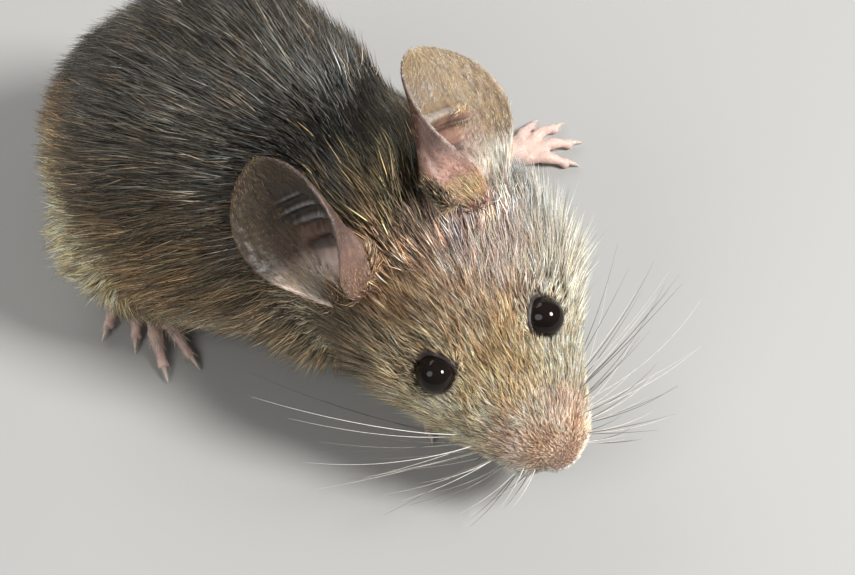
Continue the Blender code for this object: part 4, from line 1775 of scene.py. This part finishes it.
@dataclass
class Coat:
    """The fur: tufts sown over the skin, combed, coloured and made into closed meshes."""

    skin: Surface
    anatomy: Anatomy
    markings: Markings
    most_triangles: int = 1_430_000
    most_in_piece: int = 188_000
    patch: float = 0.003  # how much of the map a tuft covers, across and along
    clump: int = 8  # one tuft in this many leads a clump
    pull: float = 0.38  # how far the tips go towards their leader's
    flatness: float = 0.7
    dark_tone: float = 0.3
    pale_tone: float = 1.9

    def density(self, at: Reading) -> np.ndarray:
        """How many tufts are asked for on each square millimetre.

        Args:
            at: The points of the skin.

        Returns:
            One value for each point.
        """
        forward = at.head[:, 1]
        on_head = np.interp(forward, [-10, -3, 4, 9, 12], [75, 85, 95, 150, 170])
        on_head = on_head * (1 - 0.82 * self.bare_brow(at))
        ceiling = 0.80 - 0.17 * at.ear.of_left
        folded = ease(at.ear.around, -0.15, 0.1) * ease(at.ear.along, ceiling, ceiling - 0.05)
        outside = 46.0 - 20.0 * ease(at.ear.around, 0.0, 0.3) * ease(at.ear.along, 0.1, 0.25)
        ears = np.where(at.ear.inside > -0.3, (46.0 + 4.0 * at.ear.of_left) * (1 - folded), outside)
        thick = at.mixed(
            trunk=36.0 * ease(at.points[:, 2], -2.0, 6.0),
            neck=46.0, head=on_head, legs=24.0, paws=10.0, tail=6.0, ears=ears,
        )
        for socket in SOCKETS:
            away = unit(at.points - socket.centre)
            angle = socket.angle(away) - socket.opening_towards(away)
            margin = 0.17 + 0.22 * ease(socket.ahead(at.head), -0.4, 1.0)
            open_eye = (socket.reach(at.points) < socket.radius + margin) & (angle < 0.05)
            thick = np.where(open_eye, 0.0, thick)
        return thick

    def length(self, at: Reading) -> np.ndarray:
        """How long the tufts are, in millimetres.

        Args:
            at: The points of the skin.

        Returns:
            One value for each point.
        """
        forward, up = at.head[:, 1], at.head[:, 2]
        on_head = np.interp(forward, [-13, -8, -3, 2, 6, 9, 11], [5.0, 3.8, 2.9, 2.3, 1.8, 1.2, 0.55])
        on_head = on_head + (2.0 + 0.9 * ripple(at.points, 1.7, 41)) * self.cheek(at)
        on_head = on_head + 0.5 * ease(up, -4.2, -5.4) * ease(forward, 8.0, 10.5)
        inside = at.ear.inside > 0
        tassel = ease(at.ear.along, 0.34, 0.05) * ease(at.ear.around, 0.1, -0.5) * inside
        fringe = ease(at.ear.along, 0.20, 0.02) * ease(at.ear.around, 0.0, 0.5) * (at.ear.inside < 0)
        ears = np.where(inside, 0.72, 0.6) + 1.5 * tassel + fringe * (0.5 + 1.4 * at.ear.of_left)
        beside = ease(at.ear.apart, 3.1, 1.2)
        by_eye = self.by_eye(at)
        on_head = on_head * (1 - by_eye) + np.minimum(on_head, 1.3) * by_eye
        on_head = on_head * (1 - 0.4 * self.bare_brow(at))
        return at.mixed(
            trunk=5.8 * (1 - 0.68 * self.stern(at)),
            neck=5.0 * (1 - beside) + 1.5 * beside,
            head=on_head * (1 - beside) + np.minimum(on_head, 1.5) * beside,
            legs=np.interp(at.along[Area.LEGS], [0, 0.6, 1], [5.0, 3.2, 1.4]),
            paws=0.6,
            tail=np.interp(at.along[Area.TAIL], [0, 0.1, 0.2, 1], [1.2, 0.8, 0.55, 0.45]),
            ears=ears,
        )

    def cheek(self, at: Reading) -> np.ndarray:
        """How much each point belongs to the fluffy cheeks, from 0 to 1."""
        left, forward, up = np.abs(at.head[:, 0]), at.head[:, 1], at.head[:, 2]
        return ease(left, 4.5, 8.0) * bell(forward, -4.0, 6.5) * ease(up, 1.0, -2.0)

    def bare_brow(self, at: Reading) -> np.ndarray:
        """How thin the coat is over the brows, from 0 to 1.

        Args:
            at: The points of the skin.

        Returns:
            One value for each point.
        """
        left = bell(np.linalg.norm(at.head - (3.4, -7.2, 0.6), axis=1), 0.0, 3.4)
        right = bell(np.linalg.norm(at.head - (-5.4, -7.6, 0.3), axis=1), 0.0, 2.8)
        return np.maximum(left, 0.6 * right)

    def by_eye(self, at: Reading) -> np.ndarray:
        """How near each point is to the lids, from 0 to 1.

        Args:
            at: The points of the skin.

        Returns:
            One value for each point.
        """
        near = np.zeros(len(at.points))
        for socket in SOCKETS:
            near = np.maximum(near, ease(socket.reach(at.points), socket.radius + 1.3, socket.radius + 0.5))
        return near

    def stern(self, at: Reading) -> np.ndarray:
        """How near each point is to the root of the tail, from 0 to 1."""
        return bell(np.linalg.norm(at.points - from_hips(TAIL_PATH[0]), axis=1), 0.0, 8.0)

    def width(self, at: Reading) -> np.ndarray:
        """How wide the tufts are at the root, in millimetres."""
        head = np.interp(at.head[:, 1], [-8, 2, 10], [0.115, 0.105, 0.07])
        return at.mixed(trunk=0.105, neck=0.10, head=head, legs=0.10, paws=0.055, tail=0.05, ears=0.065)

    def lift(self, at: Reading) -> np.ndarray:
        """How steeply the tufts leave the skin, in radians.

        Args:
            at: The points of the skin.

        Returns:
            One value for each point.
        """
        head = np.interp(at.head[:, 1], [-8, 0, 8, 12], [0.46, 0.42, 0.5, 0.9])
        head = head + (0.46 + 0.12 * ripple(at.points, 1.7, 41)) * self.cheek(at) + 0.45 * self.by_eye(at)
        trunk = 0.48 * (1 - 0.6 * self.stern(at))
        return at.mixed(trunk=trunk, neck=0.46, head=head, legs=0.46, paws=0.30, tail=0.20, ears=0.32)

    def lie(self, at: Reading) -> np.ndarray:
        """The way the coat is combed, along the skin.

        Args:
            at: The points of the skin.

        Returns:
            One direction of length 1 for each point.
        """
        nose = HEAD.place((0, 13.5, -5.0))
        back = unit(at.points - nose) + HEAD.aim((0, -1, 0)) * 0.5
        combed = blended(at.heading, back, at.share[Area.HEAD] + 0.6 * at.share[Area.NECK])
        haunch = at.share[Area.LEGS] * ease(at.along[Area.LEGS], 0.8, 0.35)
        combed = blended(combed, (0.0, 0.85, -0.5), haunch)
        combed = combed - UP * (0.35 * (at.share[Area.TRUNK] + at.share[Area.NECK]))[:, None]
        combed = blended(combed, at.ear.heading, at.share[Area.EARS])
        for socket in SOCKETS:
            ahead = ease(socket.ahead(at.head), -0.3, 1.0)
            push = (bell(socket.reach(at.points), socket.radius, 0.9) * ahead)[:, None]
            combed = combed + unit(at.points - socket.centre) * push * 0.7
        combed = combed - at.normals * (combed * at.normals).sum(axis=1, keepdims=True)
        return unit(combed)

    def sow(self, unwrap: Unwrap) -> Hairs:
        """Sows the tufts over the skin.

        Args:
            unwrap: The unwrap that gives each root its place.

        Returns:
            The tufts, combed and coloured.
        """
        rng = np.random.default_rng(SEED)
        skin_normals = self.skin.normals()
        middles = self.skin.points[self.skin.faces].mean(axis=1)
        middle_normals = unit(skin_normals[self.skin.faces].mean(axis=1))
        seen = Reading.of(self.anatomy, middles, middle_normals)
        thick = self.density(seen)
        sizes = np.linalg.norm(self.skin.face_normals(), axis=1) / 2
        sizes = sizes * (middles[:, 2] > 0.05)
        total = np.cumsum(thick * sizes)
        short = np.isin(self.area_numbers(seen), SHORT_HAIRED)
        faces_each = np.where(short, TuftShape.SPIKE.faces, TuftShape.BENT.faces)
        asked = float((thick * sizes * faces_each).sum())
        count = int(total[-1] * min(1.0, self.most_triangles / asked))
        log.info("coat: %d tufts of the %.0f asked for", count, total[-1])
        picks = (np.arange(count) + rng.random(count)) / count * total[-1]
        face = np.searchsorted(total, picks).clip(0, len(total) - 1)
        u, v = rng.random((2, count))
        over = u + v > 1
        u[over], v[over] = 1 - u[over], 1 - v[over]
        weights = np.stack([1 - u - v, u, v], axis=1)[..., None]
        roots = (self.skin.points[self.skin.faces[face]] * weights).sum(axis=1)
        normals = unit((skin_normals[self.skin.faces[face]] * weights).sum(axis=1))
        at = Reading.of(self.anatomy, roots, normals)
        length = self.length(at) * rng.uniform(0.70, 1.18, count)
        lie = self.lie(at)
        stray = 0.13 * ripple(roots, 1.6, 5) + 0.12 * ripple(roots, 4.0, 6)
        stray = stray + rng.normal(0, 0.12, count) * (1 + at.share[Area.HEAD])
        lie = turned(lie, normals, stray)
        tint = self.tinted(at, rng)
        return Hairs(
            roots=roots,
            normals=normals,
            lie=lie,
            length=length,
            width=self.width(at) * rng.uniform(0.75, 1.2, count),
            lift=self.lift(at) * rng.uniform(0.65, 1.3, count),
            bend=rng.uniform(0.12, 0.52, count),
            tint=tint,
            places=unwrap.find(roots),
            area=self.area_numbers(at),
        )

    def area_numbers(self, at: Reading) -> np.ndarray:
        """The number of the area that each point mostly belongs to."""
        return np.argmax(np.stack([at.share[area] for area in Area]), axis=0)

    def tinted(self, at: Reading, rng: np.random.Generator) -> np.ndarray:
        """The colour of each tuft: the markings, with dark and pale hairs among them.

        Args:
            at: The tufts' roots.
            rng: Where the random numbers come from.

        Returns:
            Linear red, green and blue for each.
        """
        tint = self.markings.coat(at)
        count = len(tint)
        on_head = at.share[Area.HEAD]
        snout = on_head * ease(at.head[:, 1], 6.0, 11.0)
        tone = np.exp(rng.normal(0.0, 0.42, count) * (1 + 0.2 * on_head - 0.5 * at.share[Area.EARS]))
        on_back = at.share[Area.TRUNK] + at.share[Area.NECK]
        dark = rng.random(count) < 0.35 * on_back + 0.30 * (on_head - snout)
        pale = rng.random(count) < 0.16 + 0.08 * on_head + 0.2 * snout
        tone = np.where(dark, tone * self.dark_tone, tone)
        tone = np.where(pale & ~dark, tone * self.pale_tone, tone)
        crown = bell(at.head[:, 1], -12.5, 3.6) * ease(at.head[:, 2], -3.0, -1.0)
        crown = crown * (on_head + at.share[Area.NECK])
        gilded = rng.random(count) < 0.09 * crown
        tint = np.where(gilded[:, None], self.markings.gilt, tint)
        tone = tone * np.exp(0.2 * ripple(at.points, 2.2, 31) * (1 - at.share[Area.EARS]))
        warm = rng.normal(0.0, 0.10, count) + 0.04 * ripple(at.points, 3.0, 33)
        tint = tint * tone[:, None] * np.stack([1 + warm, np.ones(count), 1 - warm], axis=1)
        return np.clip(tint, 0.004, 0.95)

    def strands(self, hairs: Hairs) -> np.ndarray:
        """The root, the bend and the tip of each tuft, with the tips drawn together in clumps.

        Args:
            hairs: The tufts.

        Returns:
            Three points for each tuft.
        """
        lift, bend = hairs.lift[:, None], hairs.bend[:, None]
        half = hairs.length[:, None] / 2
        start = hairs.roots - hairs.normals * np.minimum(0.12, 0.1 * hairs.length)[:, None]
        middle = start + half * (hairs.lie * np.cos(lift) + hairs.normals * np.sin(lift))
        late = lift * (1 - 2 * bend)
        tip = middle + half * (hairs.lie * np.cos(late) + hairs.normals * np.sin(late))
        leaders = np.arange(0, len(hairs), self.clump)
        tree = point_tree(middle[leaders])
        leader = leaders[np.array([tree.find(point)[1] for point in middle.tolist()])]
        pull = self.pull * np.where(np.isin(hairs.area, SHORT_HAIRED), 1.3, 1.0)
        pull = (pull * np.exp(-np.linalg.norm(middle - middle[leader], axis=1) / 0.8))[:, None]
        tip = tip + (tip[leader] - tip) * pull
        path = np.stack([start, middle, tip], axis=1)
        path[:, :, 2] = np.maximum(path[:, :, 2], 0.06)
        return path

    def tuft_mesh(self, name: str, hairs: Hairs, path: np.ndarray, shape: TuftShape) -> bpy.types.Object:
        """A piece of the coat as one mesh of closed tufts.

        Args:
            name: The piece's name.
            hairs: Its tufts.
            path: Their roots, bends and tips.
            shape: How each of them is built.

        Returns:
            The new object, with its tint, its place along each tuft and its OFBake map.
        """
        count = len(hairs)
        along = unit(path[:, 2] - path[:, 0])
        side = unit(np.cross(along, hairs.normals))
        other = np.cross(along, side)
        angles = np.array((0.5, 2.5, 4.5)) * math.pi / 3 + math.pi / 2
        wide = np.cos(angles)[None, :, None] * side[:, None]
        ring = wide + np.sin(angles)[None, :, None] * other[:, None] * self.flatness
        radius = (hairs.width / 2)[:, None, None]
        root = path[:, 0][:, None] + ring * radius * 0.85
        middle = path[:, 1][:, None] + ring * radius
        tip = path[:, 2][:, None]
        bent = shape is TuftShape.BENT
        points = np.concatenate([root, middle, tip] if bent else [root, tip], axis=1)
        faces = (np.arange(count)[:, None, None] * shape.points + shape.triangles()).reshape(-1, 3)
        mesh = Surface(points.reshape(-1, 3), faces).mesh(name, MM)
        painted(mesh, np.repeat(hairs.tint, shape.points, axis=0))
        heights = np.array([0, 0, 0, 0.5, 0.5, 0.5, 1] if bent else [0, 0, 0, 1], np.float32)
        place = mesh.attributes.new("along", "FLOAT", "POINT")
        place.data.foreach_set("value", np.tile(heights, count))
        layer = mesh.uv_layers.new(name="OFBake")
        across = np.array([0, 0.5, 1, 0, 0.5, 1, 0.5] if bent else [0, 0.5, 1, 0.5])
        spots = np.column_stack([across, heights]) - 0.5
        corner = (hairs.places[:, None] + spots * self.patch).reshape(-1, 2)[faces.ravel()]
        layer.uv.foreach_set("vector", corner.astype(np.float32).ravel())
        return linked(name, mesh)

    def build(self, unwrap: Unwrap) -> list[bpy.types.Object]:
        """Every piece of the coat, each small enough on its own.

        Args:
            unwrap: The unwrap that gives each root its place.

        Returns:
            The pieces.
        """
        hairs = self.sow(unwrap)
        path = self.strands(hairs)
        made = []
        for number, area in enumerate(Area):
            shape = TuftShape.SPIKE if number in SHORT_HAIRED else TuftShape.BENT
            here = np.flatnonzero(hairs.area == number)
            here = here[np.argsort(hairs.roots[here, 0], kind="stable")]
            pieces = max(1, math.ceil(len(here) * shape.faces / self.most_in_piece))
            for k, part in enumerate(np.array_split(here, pieces)):
                if len(part):
                    name = f"coat_{area.value}_{k + 1}"
                    made.append(self.tuft_mesh(name, hairs.picked(part), path[part], shape))
        return made


# Finishes


class Recipe:
    """A material's nodes, made one by one."""

    def __init__(self, name: str) -> None:
        """Starts a material with its shader.

        Args:
            name: The material's name.
        """
        self.material = bpy.data.materials.new(name)
        self.material.use_nodes = True
        self.tree = self.material.node_tree
        self.shader = self.tree.nodes["Principled BSDF"]

    def node(self, kind: str, **settings: object) -> bpy.types.Node:
        """A new node with its settings; numbers given as inputs are set by name.

        Args:
            kind: The node's type.
            **settings: Its settings.

        Returns:
            The node.
        """
        made = self.tree.nodes.new(kind)
        inputs = settings.pop("inputs", {})
        for key, value in settings.items():
            setattr(made, key, value)
        for key, value in inputs.items():
            made.inputs[key].default_value = value
        return made

    def link(self, source: Socket, target: Socket) -> None:
        """Joins two sockets."""
        self.tree.links.new(source, target)

    def tint(self) -> Socket:
        """The colour that the mesh carries."""
        return self.node("ShaderNodeAttribute", attribute_name="tint").outputs["Color"]

    def noise(self, scale: float, detail: float = 3.0, roughness: float = 0.55) -> Socket:
        """A noise over the object's own coordinates, in features for each metre.

        Args:
            scale: Its scale.
            detail: Its detail.
            roughness: Its roughness.

        Returns:
            Its value.
        """
        place = self.node("ShaderNodeTexCoord").outputs["Object"]
        made = self.node(
            "ShaderNodeTexNoise", inputs={"Scale": scale, "Detail": detail, "Roughness": roughness}
        )
        self.link(place, made.inputs["Vector"])
        return made.outputs["Fac"]

    def ramp(self, source: Socket, spread: tuple, start: float, end: float) -> Socket:
        """A number mapped from the range of its spread to the range from start to end.

        Args:
            source: The number.
            spread: The range it is in.
            start: What the low end becomes.
            end: What the high end becomes.

        Returns:
            The new number.
        """
        made = self.node(
            "ShaderNodeMapRange",
            inputs={"From Min": spread[0], "From Max": spread[1], "To Min": start, "To Max": end},
        )
        self.link(source, made.inputs["Value"])
        return made.outputs["Result"]

    def banded(self, place: Socket, bands: tuple) -> Socket:
        """A grey from 0 to 1 that depends on a place from 0 to 1, through given steps.

        Args:
            place: The place.
            bands: Places along it, each with its grey.

        Returns:
            The grey.
        """
        made = self.node("ShaderNodeValToRGB")
        steps = made.color_ramp.elements
        while len(steps) < len(bands):
            steps.new(0.5)
        for step, (position, grey) in zip(steps, bands):
            step.position = position
            step.color = (grey, grey, grey, 1.0)
        self.link(place, made.inputs["Fac"])
        return made.outputs["Color"]

    def scaled(self, colour: Socket, factor: Socket) -> Socket:
        """A colour multiplied by a number.

        Args:
            colour: The colour.
            factor: The number.

        Returns:
            The new colour.
        """
        made = self.node("ShaderNodeVectorMath", operation="SCALE")
        self.link(colour, made.inputs[0])
        self.link(factor, made.inputs["Scale"])
        return made.outputs["Vector"]

    def plain(self, colour: tuple) -> Socket:
        """One colour for all of the piece.

        Args:
            colour: The colour.

        Returns:
            The colour, as a socket.
        """
        made = self.node("ShaderNodeRGB").outputs[0]
        made.default_value = colour
        return made

    def clouded(self, colour: Socket, noise: Socket, dark: float, bright: float) -> None:
        """Lays a colour on the shader, darker and brighter by these factors where the noise says."""
        tone = self.ramp(noise, (0.3, 0.7), dark, bright)
        self.link(self.scaled(colour, tone), self.shader.inputs["Base Color"])

    def polished(self, **values: float | tuple) -> bpy.types.Material:
        """The material, with shader inputs set by names whose spaces are underscores."""
        for key, value in values.items():
            self.shader.inputs[key.replace("_", " ")].default_value = value
        return self.material

    def bump(self, height: Socket, distance: float, strength: float = 1.0) -> None:
        """Adds a bump of a height in metres to the shader.

        Args:
            height: The height.
            distance: What a height of 1 is, in metres.
            strength: How strongly it shows.
        """
        made = self.node("ShaderNodeBump", inputs={"Distance": distance, "Strength": strength})
        self.link(height, made.inputs["Height"])
        self.link(made.outputs["Normal"], self.shader.inputs["Normal"])


@dataclass(frozen=True)
class CoatFinish:
    """Hair: dark at the root, banded pale below a darker tip, with a satin shine."""

    roughness: float = 0.36
    # The dark root is the hair's own grey base, deepened as painted shade deep in the coat.
    # The places along a hair, and how bright it is there.
    bands: tuple = ((0.0, 0.22), (0.42, 0.72), (0.66, 1.0), (0.85, 1.0), (1.0, 0.6))
    brightest: float = 1.3
    shine: float = 0.45

    def make(self, name: str) -> bpy.types.Material:
        """The material of the coat.

        Args:
            name: Its name.

        Returns:
            The material.
        """
        recipe = Recipe(name)
        along = recipe.node("ShaderNodeAttribute", attribute_name="along").outputs["Fac"]
        shade = recipe.ramp(recipe.banded(along, self.bands), (0.0, 1.0), 0.0, self.brightest)
        recipe.clouded(recipe.scaled(recipe.tint(), shade), recipe.noise(900.0), 0.85, 1.15)
        return recipe.polished(Roughness=self.roughness, Specular_IOR_Level=self.shine)


@dataclass(frozen=True)
class SkinFinish:
    """Bare and furred skin: soft, slightly moist, finely wrinkled."""

    roughness: float = 0.5
    glow: float = 0.18
    glow_tint: tuple = (1.0, 0.35, 0.2)
    glow_depth: float = 0.0006
    wrinkle: float = 0.00006

    def make(self, name: str) -> bpy.types.Material:
        """The material of the skin.

        Args:
            name: Its name.

        Returns:
            The material.
        """
        recipe = Recipe(name)
        recipe.clouded(recipe.tint(), recipe.noise(1400.0, 4.0), 0.82, 1.15)
        wet = recipe.ramp(recipe.noise(700.0), (0.35, 0.65), self.roughness - 0.1, self.roughness + 0.1)
        recipe.link(wet, recipe.shader.inputs["Roughness"])
        recipe.bump(recipe.noise(5200.0), self.wrinkle, 0.7)
        return recipe.polished(
            Subsurface_Weight=self.glow, Subsurface_Radius=self.glow_tint, Subsurface_Scale=self.glow_depth
        )


@dataclass(frozen=True)
class CloudedFinish:
    """A smooth surface, faintly clouded, in one colour or in the tints that the mesh carries."""

    roughness: float
    colour: tuple | None = None
    shine: float = 0.5
    clouds: float = 2500.0
    dark: float = 0.8
    bright: float = 1.15

    def make(self, name: str) -> bpy.types.Material:
        """The material of the eyeballs, the claws or the whiskers.

        Args:
            name: Its name.

        Returns:
            The material.
        """
        recipe = Recipe(name)
        colour = recipe.plain(self.colour) if self.colour else recipe.tint()
        recipe.clouded(colour, recipe.noise(self.clouds), self.dark, self.bright)
        return recipe.polished(Roughness=self.roughness, Specular_IOR_Level=self.shine)


# Wet black with a hint of brown, pale horn, and whiskers, some dusky and some pale.
EYE_FINISH = CloudedFinish(0.04, (0.008, 0.005, 0.004, 1.0), shine=0.22, clouds=500.0, dark=0.7, bright=1.3)
CLAW_FINISH = CloudedFinish(0.35, (0.62, 0.50, 0.42, 1.0))
WHISKER_FINISH = CloudedFinish(0.3)


@dataclass(frozen=True)
class FloorFinish:
    """A plain pale floor."""

    colour: tuple = (0.39, 0.385, 0.37, 1.0)
    roughness: float = 0.85

    def make(self, name: str) -> bpy.types.Material:
        """The material of the floor."""
        return Recipe(name).polished(Base_Color=self.colour, Roughness=self.roughness)


# Eyes, whiskers and the studio


def added(name: str, surface: Surface, material: bpy.types.Material) -> bpy.types.Object:
    """A surface as an object of the scene.

    Args:
        name: The object's name.
        surface: Its shape, in millimetres.
        material: Its material.

    Returns:
        The object.
    """
    made = linked(name, surface.mesh(name, MM))
    made.data.materials.append(material)
    return made


@dataclass
class Eyes:
    """The eyeballs, each a bead with a cornea that stands a little proud."""

    cornea: float = 0.06
    inset: float = 0.03
    fineness: int = 72

    def build(self, material: bpy.types.Material) -> list[bpy.types.Object]:
        """Both eyeballs.

        Args:
            material: Their material.

        Returns:
            The eyeballs.
        """
        made = []
        for socket in SOCKETS:
            bead = ball(socket.centre, socket.radius, fineness=self.fineness)
            away = unit(bead.points - socket.centre)
            proud = self.cornea * ease(socket.angle(away), 1.0, 0.5) - self.inset
            bead = Surface(bead.points + away * proud[:, None], bead.faces)
            eye = added(f"eyeball_{socket.side.word}", bead, material)
            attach(eye, "root")
            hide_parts(f"eye_{socket.side.word}")
            made.append(eye)
        return made


@dataclass
class Whiskers:
    """The whiskers of one cheek, in rows on the pad, long at the back and short at the front."""

    side: Side
    rows: int = 5
    in_row: int = 7
    longest: float = 19.0
    radii: tuple = (0.048, 0.036, 0.007)
    droop: tuple = (0.0, -0.20, -0.20)
    least_height: float = 0.15
    pale: tuple = (0.72, 0.68, 0.62)
    dusky: tuple = (0.15, 0.125, 0.105)
    pale_share: float = 0.45

    def build(self, material: bpy.types.Material) -> bpy.types.Object:
        """All the whiskers of this side as one piece.

        Args:
            material: Their material.

        Returns:
            The piece.
        """
        rng = np.random.default_rng(SEED + self.side.value)
        t = np.linspace(0.0, 1.0, 9)[:, None]
        radii = np.interp(t[:, 0], [0, 0.3, 1], self.radii)
        made, tones = [], []
        for row in range(self.rows):
            for place in range(self.in_row):
                ahead = place / (self.in_row - 1)
                down = row / (self.rows - 1)
                root = np.array((4.1 - 1.9 * ahead, 6.3 + 4.6 * ahead, -3.0 - 2.4 * down - 0.4 * ahead))
                length = self.longest * (1 - 0.66 * ahead) * rng.uniform(0.6, 1.05)
                out = unit(np.array((1.0, -0.40 + ahead, 0.50 - 0.95 * down)) + rng.normal(0, 0.13, 3))
                sag = np.array(self.droop) * length * rng.uniform(0.3, 1.3)
                points = HEAD.place((root + out * length * t + sag * t**2) * self.side.mirror)
                points[:, 2] = np.maximum(points[:, 2], self.least_height)
                made.append(tube(points, radii, 5, 2))
                tone = self.pale if rng.random() < self.pale_share else self.dusky
                tones.append(np.tile(tone, (len(made[-1].points), 1)))
        whiskers = added(f"whiskers_{self.side.word}", Surface.joined(made), material)
        painted(whiskers.data, np.vstack(tones))
        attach(whiskers, "root")
        return whiskers


@dataclass
class Studio:
    """The floor, the soft lights and the camera: distance in millimetres, the floor in metres."""

    azimuth: float = math.radians(-60.0)
    elevation: float = math.radians(58.0)
    distance: float = 215.0
    lens: float = 106.65
    sensor: float = 36.0
    target_from_hips: tuple = (-1.861, -23.750, 12.0)
    floor_size: float = 4.0
    floor_gap: float = 0.00002
    sky: tuple = (0.95, 0.97, 1.0, 1.0)
    sky_strength: float = 0.22

    def build(self) -> None:
        """Sets the floor, the camera and the lights."""
        target = Vector(from_hips(self.target_from_hips)) * MM
        flat = math.cos(self.elevation)
        around = math.sin(self.azimuth), -math.cos(self.azimuth)
        back = Vector((around[0] * flat, around[1] * flat, math.sin(self.elevation)))
        right = (-back).cross(Vector(UP)).normalized()
        self.floor()
        self.camera(target, back)
        beside = target + right * 0.26 + Vector(UP) * 0.20 + back * 0.12
        self.light("key_light", beside, target, size=0.12, power=2.5)
        self.light("fill_light", target - right * 0.20 + back * 0.30, target, size=0.2, power=0.4)
        self.light("rim_light", target - back * 0.1 + Vector((0.1, 0.25, 0.3)), target, size=0.25, power=0.5)
        world = bpy.data.worlds.new("studio")
        world.use_nodes = True
        inputs = world.node_tree.nodes["Background"].inputs
        inputs["Color"].default_value = self.sky
        inputs["Strength"].default_value = self.sky_strength
        bpy.context.scene.world = world
        bpy.context.scene.view_settings.view_transform = "Standard"

    def floor(self) -> None:
        """Lays the floor, a hair's breadth under the feet."""
        mesh = bpy.data.meshes.new("floor")
        size = self.floor_size / 2
        corners = [(-size, -size, 0), (size, -size, 0), (size, size, 0), (-size, size, 0)]
        mesh.from_pydata(corners, [], [(0, 1, 2, 3)])
        mesh.materials.append(FloorFinish().make("floor"))
        floor = linked("floor", mesh)
        floor.location.z = -self.floor_gap

    def camera(self, target: Vector, back: Vector) -> None:
        """Stands the camera back from its target, at the viewing angle.

        Args:
            target: What it looks at.
            back: The way from the target to the camera.
        """
        data = bpy.data.cameras.new("camera")
        data.lens = self.lens
        data.sensor_width = self.sensor
        data.clip_start, data.clip_end = 0.005, 10.0
        camera = linked("camera", data)
        camera.location = target + back * self.distance * MM
        camera.rotation_euler = (-back).to_track_quat("-Z", "Y").to_euler()
        bpy.context.scene.camera = camera

    def light(self, name: str, place: Vector, target: Vector, size: float, power: float) -> None:
        """An area light that faces the target.

        Args:
            name: Its name.
            place: Where it is, in metres.
            target: What it faces.
            size: How wide it is, in metres.
            power: Its power, in watts.
        """
        data = bpy.data.lights.new(name, "AREA")
        data.energy = power
        data.shape = "DISK"
        data.size = size
        made = linked(name, data)
        made.location = place
        made.rotation_euler = (target - place).to_track_quat("-Z", "Y").to_euler()


def main() -> None:
    """Builds the mouse in order, and the studio round it."""
    logging.basicConfig(level=logging.INFO, format="%(relativeCreated)d %(name)s: %(message)s")
    bpy.context.view_layer.update()
    anatomy = Anatomy()
    markings = Markings()

    skin = Skin(anatomy).build()
    log.info("skin: %d faces", len(skin.faces))
    at = Reading.of(anatomy, skin.points, skin.normals())
    log.info("skin read")
    hide = added("skin", skin, SkinFinish().make("skin"))
    painted(hide.data, markings.skin(at))
    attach(hide, "root")
    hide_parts(*[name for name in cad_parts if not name.startswith("eye_")])

    unwrap = Unwrap(skin)
    log.info("unwrap: %d faces", len(unwrap.surface.faces))
    coat_material = CoatFinish().make("coat")
    for piece in Coat(skin, anatomy, markings).build(unwrap):
        piece.data.materials.append(coat_material)
        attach(piece, "root")
        log.info("%s: %d faces", piece.name, len(piece.data.polygons))

    Eyes().build(EYE_FINISH.make("eye"))
    claw_finish = CLAW_FINISH.make("claw")
    for paw in PAWS:
        claws = added(f"claws_{paw.kind.word}_{paw.side.word}", paw.claws(), claw_finish)
        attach(claws, "root")
    whisker_finish = WHISKER_FINISH.make("whisker")
    for side in Side:
        Whiskers(side).build(whisker_finish)
    Studio().build()
    log.info("done")


if __name__ == "__main__":
    main()
